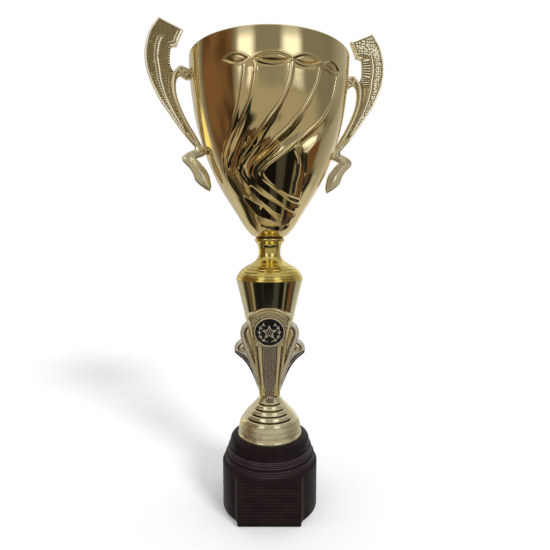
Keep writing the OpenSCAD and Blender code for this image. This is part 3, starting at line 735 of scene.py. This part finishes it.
def make_neck():
    shoulder = curve([[30.8, 0.8], [30.4, 2.4], [29.3, 4.8], [26.8, 8.2], [23, 11.4], [18.8, 13.8], [15.6, 15.5], [13.2, 17.3], [11.7, 19.2],
                      [10.6, 21.2], [10.1, 23.4], [10, 26.4], [10.2, 28.8], [10.8, 31], [12.1, 33.2], [13.4, 35]], 16)
    shoulder = resample(shoulder, 0.14)
    g = np.gradient(shoulder, axis=0)
    nrm = np.c_[g[:, 1], -g[:, 0]] / np.hypot(*g.T)[:, None]
    s = np.r_[0, np.cumsum(np.hypot(*np.diff(shoulder, axis=0).T))]
    cut = np.zeros(len(s))
    for z, deep in ((1.9, 0.40), (4.6, 0.45), (7.4, 0.45), (10.0, 0.45), (12.4, 0.40), (32.2, 0.60)):
        cut += np.clip(deep - np.abs(s - np.interp(z, shoulder[:, 1], s)), 0, 1)
    shoulder = shoulder - nrm * cut[:, None]
    waist = np.vstack([[[27.2, 0], [30.4, 0], [30.7, 0.3]], shoulder])
    top = eased([[13.4, 35], [13.8, 35.8], [13.8, 36.8], [13.4, 37.4], [3.3, 37.4]], 0.4)
    loop = np.vstack([[[24.8, -4], [27.2, -4]], waist, top[1:], [[3.3, 7], [24.8, 7]]])
    return build("neck_collar_turned", [turned(loop, 200, Z_NECK)], [M["yellow"]], 35)


# inclined faces of the stem: x across, y up the face, z out of it
TILT = math.radians(100)
FACE_Y, FACE_Z = -(float(column_r(65)) + 2.6), Z_COL + 65


def on_face(back):
    s = -1.0 if back else 1.0
    c, n = math.cos(TILT), math.sin(TILT)

    def place(v):
        y = FACE_Y + v[:, 1] * c - v[:, 2] * n
        return np.c_[s * v[:, 0], s * y, FACE_Z + v[:, 1] * n + v[:, 2] * c]

    return place


arch = np.radians(np.linspace(40, 140, 60))
face_side = curve([[9.2, -64], [9.4, -55], [10.5, -41], [12.0, -27.5], [13.7, -13], [15.4, 0], [16.6, 9]], 6)


def face_ring(r, e):
    """Arch-topped outline: arch radius r, sides moved out by e."""
    right = face_side + [e, 0]
    top = np.c_[r * np.cos(arch), -2.6 + r * np.sin(arch)]
    right = right[right[:, 1] < top[0, 1] - 0.5]
    return np.vstack([right, top, (right * [-1, 1])[::-1]])


face_outline = face_ring(24.5, 0.35)
face_front = face_ring(22.0, 0.0)


def face_height(P, d):
    x, y = np.abs(P[:, 0]), P[:, 1]
    r = np.hypot(P[:, 0], P[:, 1])
    e = along(P, face_front)[0] * np.where(inside(P, face_front), 1.0, -1.0)
    k = knurl((P[:, 0] + P[:, 1]) / 2.6, (P[:, 0] - P[:, 1]) / 2.6)
    # plain fields beside the disc, knurled over it
    over = smooth(2.0, 5.0, y)
    ground = -1.05 + 0.7 * k * over
    # below the disc: knurled strip between two rounded bands
    strip = np.interp(y, [-64, -45, -27, -10], [3.7, 4.8, 5.6, 5.8])
    band = np.interp(y, [-64, -55, -41, -27.5, -13], [8.0, 8.2, 9.3, 10.7, 12.2])
    v = np.clip((x - strip) / np.maximum(band - strip, 0.1), 0, 1)
    bands = np.where(x < strip, -1.1 + 0.8 * np.minimum(1.6 * k, 1.0) + 0.5 * smooth(-48, -57, y), np.where(x < band, -0.55 + 0.75 * dome(2 * v - 1), -0.9))
    low = smooth(-9.5, -13.5, y)
    h = ground * (1 - low) + bands * low
    # thin border ridge along the front edge, rounded bead round the arch behind it
    h = np.where(e < 1.1, -0.75 + 0.85 * dome((e - 0.5) / 0.6), h)
    bead = -2.9 + 1.75 * dome((e + 1.5) / 1.15)
    h = np.where(e < -0.1, np.where(e < -0.35, bead, -2.9), h)
    # bright ring round the disc and the seat inside it
    h = np.where((r > 13.6) & (r < 14.3) & (e > 1.1), -1.1, h)
    h = np.where((r > 12.5) & (r < 13.7), -0.2 + 0.75 * dome((r - 13.1) / 0.6), h)
    h = np.where(r <= 12.5, -0.4, h)
    # the face curls back to the waist at its foot
    return h - np.where(x < strip, 0.3, 2.6) * smooth(-50, -66, y) ** 1.5


def make_face(name, back):
    def finish(P):
        # painted shade: the knurl's cuts and the groove round the disc take the dark cut finish, and the recessed strip
        # takes the darker strip gold
        r = np.hypot(P[:, 0], P[:, 1])
        strip = np.interp(P[:, 1], [-64, -45, -27, -10], [3.7, 4.8, 5.6, 5.8])
        k = knurl((P[:, 0] + P[:, 1]) / 2.6, (P[:, 0] - P[:, 1]) / 2.6)
        low = (np.abs(P[:, 0]) < strip) & (P[:, 1] < -13.4)
        over = (P[:, 1] > 3.5) & inside(P, face_ring(20.9, -1.1)) & (r > 14.0)
        kind = np.where(low, np.where(k < 0.30, 3, 2), np.where(over & (k < 0.20), 3, 0))
        kind = np.where((r > 13.7) & (r < 14.15), 3, kind)
        return np.where((r > 12.5) & (r < 13.7), 1, kind)

    circle = lambda r: np.c_[r * np.cos(np.linspace(0, 2 * math.pi, 200)), r * np.sin(np.linspace(0, 2 * math.pi, 200))]
    lines = [face_ring(22.0 - e, -e) for e in (-0.35, -0.05, 0.5, 1.05)] + [circle(q) for q in (12.48, 13.1, 13.72)]
    part = plate(face_outline, face_height, lambda P, d: np.full(len(P), 12.0), 0.34, on_face(back), rings=(0.22,), flare=0.6, pick=finish, lines=lines)
    return build(name, [part], [M["panel"], M["bezel"], M["strip"], M["cut"]], 50)


def ribbon(line, width, loop=False):
    """Flat prism along a line on the disc."""
    p = np.asarray(line, float)
    if loop:
        t = np.roll(p, -1, 0) - np.roll(p, 1, 0)
    else:
        t = np.gradient(p, axis=0)
    n = np.c_[-t[:, 1], t[:, 0]] / np.maximum(np.hypot(*t.T), 1e-9)[:, None]
    w = np.broadcast_to(np.asarray(width, float), (len(p),))[:, None] / 2
    a, b = p + n * w, p - n * w
    lo, hi = 0.42, 0.62
    k = len(p)
    ring = np.stack([np.c_[b, np.full(k, lo)], np.c_[b, np.full(k, hi)], np.c_[a, np.full(k, hi)], np.c_[a, np.full(k, lo)]])
    v = ring.transpose(1, 0, 2).reshape(-1, 3)
    f = [quads(k, 4, loop, True)[:, ::-1]]
    if not loop:
        f.append(np.array([[0, 1, 2, 3]]))
        e = 4 * (k - 1)
        f.append(np.array([[e + 3, e + 2, e + 1, e]]))
    return v, f


def make_emblem():
    place = on_face(False)
    prof = eased([[0.01, -0.4], [12.4, -0.4], [12.4, 0.42], [12.1, 0.5], [0.01, 0.5]], 0.15)
    a = np.arange(120) * 2 * math.pi / 120
    v = np.stack([prof[:, :1] * np.cos(a), prof[:, :1] * np.sin(a), np.repeat(prof[:, 1:], 120, 1)], -1).reshape(-1, 3)
    parts = [(place(v), [quads(len(prof), 120, True, True)], 0)]

    def gilt(line, width, loop=False):
        v, f = ribbon(line, width, loop)
        parts.append((place(v), f, 1))

    # star with a line from the middle to each point
    ang = np.radians(90 + 36 * np.arange(10))
    rad = np.where(np.arange(10) % 2 == 0, 6.4, 2.7)
    star = np.c_[rad * np.cos(ang), rad * np.sin(ang)]
    gilt(resample(closed(star), 0.5)[:-1], 0.48, True)
    for p in star[::2]:
        gilt(resample([p * 0.1, p * 0.9], 1.0), 0.34)
    # wreath: two stems with leaves on both sides
    for side in (-1, 1):
        w = np.radians(np.linspace(-80, 58, 40))
        gilt(np.c_[side * 8.9 * np.cos(w), 8.9 * np.sin(w)], 0.4)
        for q in np.radians(np.linspace(-62, 50, 5)):
            for tip in (8.9 - 1.7, 8.9 + 1.5):
                b = np.array([8.9 * math.cos(q), 8.9 * math.sin(q)])
                e = np.array([tip * math.cos(q + 0.22), tip * math.sin(q + 0.22)])
                line = b + (e - b) * np.linspace(0.02, 1, 6)[:, None]
                gilt(line * [side, 1], np.array([0.2, 0.5, 0.65, 0.6, 0.42, 0.15]))
    return build("emblem_disc_enamel", parts, [M["black"], M["gilt"]], 35)


# side wings: two leaf lobes that run down to the waist
w_upper = curve([[17, 76], [22, 70.2], [25.6, 66.5], [27.4, 62], [27.6, 58.5], [27, 54.5], [24, 45], [18.6, 30], [13.2, 14], [10.4, 6]], 8)
w_lower = curve([[22, 55.4], [27, 53.6], [30.8, 50.6], [32.8, 47], [33.2, 43.6], [32.2, 40.6], [29.4, 38], [26, 35.2], [22.6, 31.3],
                 [19.8, 27.2], [16.2, 20], [13, 12], [10.6, 5]], 8)


def lobe(line, half, wide, under):
    h = np.linspace(line[-1, 1], line[0, 1], 24)
    inner = np.c_[np.minimum(column_r(h) - 1.4, np.interp(h, line[::-1, 1], line[::-1, 0]) - 1.0), h]
    outline = np.vstack([line, inner])

    def edge_line(P):
        """Distance from the outer edge, and how much of the under edge's two shaded hollows is there."""
        e = along(P, line)[0]
        return e, under * smooth(44, 41, P[:, 1]) * smooth(6, 12, P[:, 1])

    def ridges(P):
        """Number of the half round ridge from the outer edge, and the place across it from -1 to 1."""
        e, low = edge_line(P)
        q = np.maximum(e - 3.4 * low, 0)
        n = np.floor(q / wide)
        return e, low, n, 2 * (q / wide - n) - 1

    def height(P, d):
        # the first ridge is the boldest
        e, low, n, u = ridges(P)
        body = half * (0.50 + 0.30 * np.clip(n / 2, 0, 1))
        h = body + (0.42 - 0.08 * np.clip(n, 0, 3)) * half * (dome(0.98 * u) - 0.2)
        h = h * (0.42 + 0.58 * dome(1 - np.clip(e / 1.6, 0, 1)))
        step = half * (0.30 + 0.22 * np.exp(-((e - 1.9) / 0.45) ** 2))
        return np.where((e < 3.3) & (low > 0.5), step, np.maximum(h, 0.5))

    def finish(P):
        # painted shade: the grooves between the ridges and the under edge's hollows take the dark finish, and the
        # ridges nearest the column take the darker strip gold
        e, low, n, u = ridges(P)
        cut = ((low > 0.5) & (e < 3.3) & (np.abs(e - 1.9) > 0.42)) | ((np.abs(u) > 0.82) & (e > 2.5))
        return np.where(cut, 1, np.where(n == 0, 0, np.where(n == 1, 2, 3)))

    return outline, height, finish


def make_wing(name, angle):
    parts = []
    for line, half, wide, under in ((w_upper, 5.5, 5.0, 0.0), (w_lower, 4.0, 4.2, 1.0)):
        outline, height, finish = lobe(line, half, wide, under)
        parts.append(plate(outline, height, height, 0.42, upright(angle, Z_COL), rings=(0.3, 0.75), pick=finish))
    return build(name, parts, [M["champ"], M["shade"], M["panel"], M["strip"]], 50)


# ------------------------------------------------------------------ plinth


def plinth_outline():
    """Front half runs from the left of the drum round the front flat to its right; the back half is the same turned round."""
    sweep = np.radians(np.linspace(134.0, 180, 14))
    right = np.c_[42.2 + 14.2 * np.cos(sweep), -41 + 14.2 * np.sin(sweep)]
    flat = np.c_[np.linspace(28, -28, 78), np.full(78, -41.2)]
    half = np.vstack([right[:-1], [[28, -40.9]], flat, [[-28, -40.9]], (right[:-1] * [-1, 1])[::-1]])
    a0 = math.atan2(half[-1, 1], half[-1, 0])
    a1 = math.atan2(-half[0, 1], -half[0, 0])
    arc = np.linspace(a0, a1 - 2 * math.pi if a1 > a0 else a1, 30)[1:-1]
    drum = np.c_[44.7 * np.cos(arc), 44.7 * np.sin(arc)]
    side = np.vstack([half, drum])
    ring = np.vstack([side, -side])
    return ring[::-1]


def make_plinth():
    ring = plinth_outline()
    ang = np.arctan2(ring[:, 1], ring[:, 0])
    rad = np.hypot(*ring.T)
    pitch = 41.0 / 14
    rows = []
    zs = np.r_[1.0, 1.15, 1.6, np.arange(1.9, 44.4, 0.26), 44.6, 44.9, 45.0]
    front = np.abs(np.abs(ring[:, 1]) - 41.2) < 0.01
    for z in zs:
        r = rad.copy()
        cone = 51.7 - max(0.0, z - 36) / 9 * 8.7
        r = np.minimum(r, cone)
        p = np.c_[r * np.cos(ang), r * np.sin(ang)]
        u = (z - 1.0) / pitch
        rib = 0.5 - 0.5 * math.cos(2 * math.pi * (u - round(u) + 0.5))
        depth = 0.85 * (1 - rib ** 0.7) * (1.0 if 1.9 < z < 43.0 else 0.0)
        amount = smooth(26.6, 25.0, np.abs(p[:, 0])) * front * depth
        p[:, 1] -= np.sign(p[:, 1]) * amount
        inset = 0.35 if z in (1.0, 45.0) else 0.1 if z in (1.15, 44.9) else 0.0
        p *= (1 - inset / np.hypot(*p.T))[:, None]
        rows.append(np.c_[p, np.full(len(p), z)])
    unit = np.c_[np.cos(ang), np.sin(ang)]
    hollow = np.minimum(41.9, 37.8 / np.maximum(np.abs(np.sin(ang)), 1e-6))
    rebate = np.minimum(43.1, 39.2 / np.maximum(np.abs(np.sin(ang)), 1e-6))
    for r, z in ((np.full(len(ang), 20.0), 45.0), (np.full(len(ang), 3.3), 45.0), (np.full(len(ang), 3.3), 41.0), (np.full(len(ang), 20.0), 41.0),
                 (hollow, 41.0), (hollow, 3.6), (rebate, 3.6), (rebate, 1.0)):
        rows.append(np.c_[unit * np.asarray(r)[:, None], np.full(len(ang), z)])
    v = np.vstack(rows)
    return build("plinth_ribbed", [(v, [quads(len(rows), len(ang), True, True)], 0)], [M["dark"]], 42)


def make_cap():
    tiers = [[42, 0], [42, 4], [41.9, 5.4], [41.4, 6.2], [40, 6.4], [39.8, 9], [39.5, 11.6], [39.2, 12.3], [37.9, 12.6], [37.5, 16.5],
             [36.9, 19.6], [35.9, 21.2], [34, 22.4], [31.5, 23], [3.3, 23]]
    out = resample(eased(tiers, 0.45)[:-1], 0.15)
    for z in (7.95, 9.65, 11.3, 1.5, 3.5):
        out[:, 0] -= 0.5 * np.exp(-((out[:, 1] - z) / 0.40) ** 2) * (out[:, 0] > 38.9)
    loop = np.vstack([out, [[20, 23], [3.3, 23], [3.3, 0], [9, 0], [9, 19], [34, 19], [34, 0]]])
    # painted highlight: lighter crests between the grooves and along the edges of the tiers
    crest = np.min([np.abs(loop[:, 1] - z) for z in (0.5, 2.5, 4.7, 7.1, 8.8, 10.5, 12.0)], 0) < 0.36
    kind = np.repeat((crest & (loop[:, 0] > 38.9)).astype(int)[:, None], 200, 1)
    return build("plinth_cap_turned", [finished(turned(loop, 200, Z_CAP), kind)], [M["cap"], M["ridge"]], 40)


def make_rod():
    z0, z1, pitch = 20.5, 262.8, 1.0
    zs = np.r_[z0, np.arange(z0 + 0.1, z1 - 0.05, 0.2), z1]
    n = 24
    a = np.arange(n) * 2 * math.pi / n
    ph = zs[:, None] / pitch - a[None, :] / (2 * math.pi)
    R = 2.98 - 0.55 * np.abs(2 * (ph - np.floor(ph)) - 1) ** 1.2
    R[0] = R[-1] = 2.4
    v = np.stack([R * np.cos(a), R * np.sin(a), np.repeat(zs[:, None], n, 1)], -1).reshape(-1, 3)
    k = len(v)
    v = np.vstack([v, [[0, 0, z0], [0, 0, z1]]])
    j = np.arange(n)
    j2 = (j + 1) % n
    low = np.stack([j2, j, np.full(n, k)], -1)
    top = np.stack([k - n + j, k - n + j2, np.full(n, k + 1)], -1)
    return build("tie_rod_thread", [(v, [quads(len(zs), n, False, True), low, top], 0)], [M["steel"]], 30)


# ------------------------------------------------------------------ pieces on their bodies


def piece(ob, node, body):
    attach(ob, body)
    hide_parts(node)
    return ob


piece(make_bowl(), "bowl", "bowl")
piece(make_handle("handle_right_cast", TURN), "handle_right", "bowl")
piece(make_handle("handle_left_cast", TURN + math.pi), "handle_left", "bowl")
piece(make_neck(), "neck_collar", "stem")
piece(make_column(), "column", "stem")
piece(make_foot(), "foot_dome", "stem")
piece(make_face("front_panel_relief", False), "front_panel", "stem")
piece(make_face("back_panel_relief", True), "back_panel", "stem")
piece(make_emblem(), "emblem_disc", "stem")
piece(make_wing("wing_right_cast", 0.0), "wing_right", "stem")
piece(make_wing("wing_left_cast", math.pi), "wing_left", "stem")
piece(make_plinth(), "plinth_body", "plinth")
piece(make_cap(), "plinth_cap", "plinth")
piece(make_rod(), "tie_rod", "plinth")

for node, key in {
    "base_felt": "felt", "bottom_plate": "board", "base_weight": "iron", "bottom_washer": "steel", "bottom_nut": "steel",
    "seat_washer": "fibre", "bowl_washer": "steel", "bowl_nut": "steel", "handle_screws": "steel", "handle_washers": "steel",
}.items():
    data = nodes[node].data
    if len(data.materials) == 0:
        data.materials.append(M[key])
    for i in range(len(data.materials)):
        data.materials[i] = M[key]

# ------------------------------------------------------------------ floor, light, camera

fm, nt, b = new_material("floor_pale")
nt.links.new(ramp(nt, noise(nt, 6.0, 3.0), [(0.35, (0.93, 0.93, 0.93)), (0.65, (0.96, 0.96, 0.96))]), b.inputs["Base Color"])
b.inputs["Roughness"].default_value = 0.9
b.inputs["Specular IOR Level"].default_value = 0.1
me = bpy.data.meshes.new("floor")
me.from_pydata([(-6, -6, 0), (6, -6, 0), (6, 6, 0), (-6, 6, 0)], [], [(0, 1, 2, 3)])
me.materials.append(fm)
floor = bpy.data.objects.new("floor", me)
scene.collection.objects.link(floor)
floor.visible_glossy = False

# pale reflector that lies in front of the cup and is seen in the metal only
cm = bpy.data.materials.new("reflector_pale")
cm.use_nodes = True
nt = cm.node_tree
nt.nodes.clear()
out = nt.nodes.new("ShaderNodeOutputMaterial")
emit = nt.nodes.new("ShaderNodeEmission")
nt.links.new(ramp(nt, noise(nt, 9.0, 2.0), [(0.3, (0.40, 0.37, 0.31)), (0.7, (0.52, 0.48, 0.40))]), emit.inputs["Color"])
nt.links.new(emit.outputs[0], out.inputs[0])
me = bpy.data.meshes.new("reflector")
me.from_pydata([(-0.075, -0.285, 0.0005), (0.075, -0.285, 0.0005), (0.075, -0.08, 0.0005), (-0.075, -0.08, 0.0005)], [], [(0, 1, 2, 3)])
me.materials.append(cm)
card = bpy.data.objects.new("reflector", me)
scene.collection.objects.link(card)
card.visible_camera = card.visible_diffuse = card.visible_shadow = False

world = bpy.data.worlds.new("studio")
scene.world = world
world.use_nodes = True
wt = world.node_tree
wt.nodes.clear()


def wmath(op, a, b=None, c=None):
    n = wt.nodes.new("ShaderNodeMath")
    n.operation = op
    for i, x in enumerate((a, b, c)):
        if x is None:
            continue
        if isinstance(x, (int, float)):
            n.inputs[i].default_value = x
        else:
            wt.links.new(x, n.inputs[i])
    return n.outputs[0]


def wband(x, a0, a1, b0, b1):
    """1 between a1 and b0, 0 outside a0 and b1."""
    up = wt.nodes.new("ShaderNodeMapRange")
    up.interpolation_type = "SMOOTHSTEP"
    up.inputs["From Min"].default_value, up.inputs["From Max"].default_value = a0, a1
    wt.links.new(x, up.inputs["Value"])
    down = wt.nodes.new("ShaderNodeMapRange")
    down.interpolation_type = "SMOOTHSTEP"
    down.inputs["From Min"].default_value, down.inputs["From Max"].default_value = b0, b1
    down.inputs["To Min"].default_value, down.inputs["To Max"].default_value = 1.0, 0.0
    wt.links.new(x, down.inputs["Value"])
    return wmath("MULTIPLY", up.outputs[0], down.outputs[0])


def wmix(fac, a, b):
    n = wt.nodes.new("ShaderNodeMix")
    n.data_type = "RGBA"
    wt.links.new(fac, n.inputs[0])
    for x, i in ((a, 6), (b, 7)):
        if isinstance(x, tuple):
            n.inputs[i].default_value = (*x, 1.0)
        else:
            wt.links.new(x, n.inputs[i])
    return n.outputs[2]


def panorama(az, stops):
    """Colours round the horizon, by degrees from the front, right positive."""
    r = wt.nodes.new("ShaderNodeValToRGB")
    r.color_ramp.interpolation = "LINEAR"
    el = r.color_ramp.elements
    while len(el) < len(stops):
        el.new(0.5)
    for e, (deg, c) in zip(el, stops):
        e.position = (deg + 180) / 360
        e.color = (*(c if isinstance(c, tuple) else (c, c, c)), 1.0)
    wt.links.new(az, r.inputs[0])
    return r.outputs[0]


co = wt.nodes.new("ShaderNodeTexCoord")
xyz = wt.nodes.new("ShaderNodeSeparateXYZ")
wt.links.new(co.outputs["Generated"], xyz.inputs[0])
az_rad = wmath("ARCTAN2", xyz.outputs[0], wmath("MULTIPLY", xyz.outputs[1], -1.0))
az = wmath("MULTIPLY_ADD", az_rad, 0.5 / math.pi, 0.5)
deg = wmath("MULTIPLY", az_rad, 180 / math.pi)
el = wmath("MULTIPLY", wmath("ARCSINE", xyz.outputs[2]), 180 / math.pi)
BROWN = (0.13, 0.078, 0.055)
high = panorama(az, [(-180, 0.62), (-142, 0.55), (-118, 0.50), (-112, 0.28), (-101, BROWN), (-54, BROWN),
                     (-45, 0.27), (-18, 0.25), (12, 0.25), (52, 0.24), (92, 0.21), (108, 0.32), (130, 0.44), (158, 0.85), (180, 0.62)])
low = panorama(az, [(-180, 0.64), (-122, 0.60), (-113, (0.50, 0.46, 0.40)), (-107, 0.03), (-96, 0.02), (-91, (0.10, 0.075, 0.05)), (-79, (0.13, 0.10, 0.065)),
                    (-75, 0.05), (-72, (0.40, 0.32, 0.20)), (-67, (0.40, 0.32, 0.20)), (-63, 0.04), (-56, 0.012), (-30, 0.012), (-24, 0.03), (-20, 0.008),
                    (14, 0.006), (20, 0.06), (34, 0.06), (40, 0.008), (56, 0.01), (59, (0.19, 0.195, 0.15)), (65, (0.19, 0.195, 0.15)), (69, 0.015), (82, 0.02),
                    (86, (0.075, 0.06, 0.06)), (99, (0.075, 0.06, 0.06)), (103, 0.01), (108, 0.02), (113, 0.58), (150, 0.66), (180, 0.64)])
nearby = panorama(az, [(-180, 0.60), (-120, 0.58), (-95, (0.46, 0.42, 0.35)), (-40, (0.42, 0.37, 0.28)), (0, (0.40, 0.35, 0.265)),
                       (40, (0.42, 0.37, 0.28)), (95, (0.46, 0.42, 0.35)), (120, 0.58), (180, 0.60)])
spots = wt.nodes.new("ShaderNodeTexNoise")
spots.inputs["Scale"].default_value = 2.4
spots.inputs["Detail"].default_value = 1.0
wt.links.new(co.outputs["Generated"], spots.inputs["Vector"])
shades = wt.nodes.new("ShaderNodeValToRGB")
for e, (at, c) in zip(shades.color_ramp.elements, ((0.36, (0.070, 0.041, 0.025)), (0.62, (0.20, 0.114, 0.066)))):
    e.position = at
    e.color = (*c, 1.0)
wt.links.new(spots.outputs[0], shades.inputs[0])
high = wmix(wband(deg, -106, -99, -54, -46), high, shades.outputs[0])
# bright strip at the left, the paler lower front and a brown stripe at the right
high = wmix(wmath("MULTIPLY", wband(deg, -140, -130, -120, -112), wband(el, -9, -3, 3, 8)), high, (1.2, 1.04, 0.46))
high = wmix(wmath("MULTIPLY", wband(deg, -52, -44, 60, 80), wband(el, -60, -59, 1, 8)), high, (0.40, 0.385, 0.345))
mid = wmix(wband(el, -27, -17, 200, 201), low, high)
mid = wmix(wmath("MULTIPLY", wband(deg, 76, 82, 94, 100), wband(el, -34, -29, -8, -3)), mid, (0.15, 0.08, 0.042))
mid = wmix(wband(el, -62, -48, 200, 201), nearby, mid)
mid = wmix(wband(el, 30, 50, 200, 201), mid, (0.5, 0.5, 0.49))
windows = wmath("ADD", wband(deg, -46, -37, -26, -15), wband(deg, 12, 24, 36, 48))
mid = wmix(wmath("MULTIPLY", windows, wband(el, 26, 34, 46, 60)), mid, (1.0, 0.98, 0.93))
mid = wmix(wmath("MULTIPLY", windows, wband(el, 3, 9, 19, 28)), mid, (1.35, 1.46, 1.75))
path = wt.nodes.new("ShaderNodeLightPath")
sky = wmix(path.outputs["Is Diffuse Ray"], mid, (0.82, 0.82, 0.82))
sky = wmix(path.outputs["Is Camera Ray"], sky, (1.0, 1.0, 1.0))
bg = wt.nodes.new("ShaderNodeBackground")
wt.links.new(sky, bg.inputs["Color"])
wo = wt.nodes.new("ShaderNodeOutputWorld")
wt.links.new(bg.outputs[0], wo.inputs[0])
world.cycles.sampling_method = "NONE"

sun = bpy.data.lights.new("key", "SUN")
sun.energy = 1.7
sun.angle = math.radians(16)
key = bpy.data.objects.new("key", sun)
scene.collection.objects.link(key)
key.rotation_euler = Vector((-0.52, 0.64, -0.58)).to_track_quat("-Z", "Y").to_euler()
key.visible_glossy = False

cam = bpy.data.cameras.new("camera")
cam.sensor_width = 36.0
cam.lens = 28.45
cam.clip_start = 0.01
cam.clip_end = 50.0
camera = bpy.data.objects.new("camera", cam)
scene.collection.objects.link(camera)
camera.location = (0.00497, -0.400, 0.2544)
camera.rotation_euler = (math.radians(90 - 5.17), 0.0, 0.0)
scene.camera = camera

scene.view_settings.view_transform = "Standard"
scene.view_settings.look = "None"
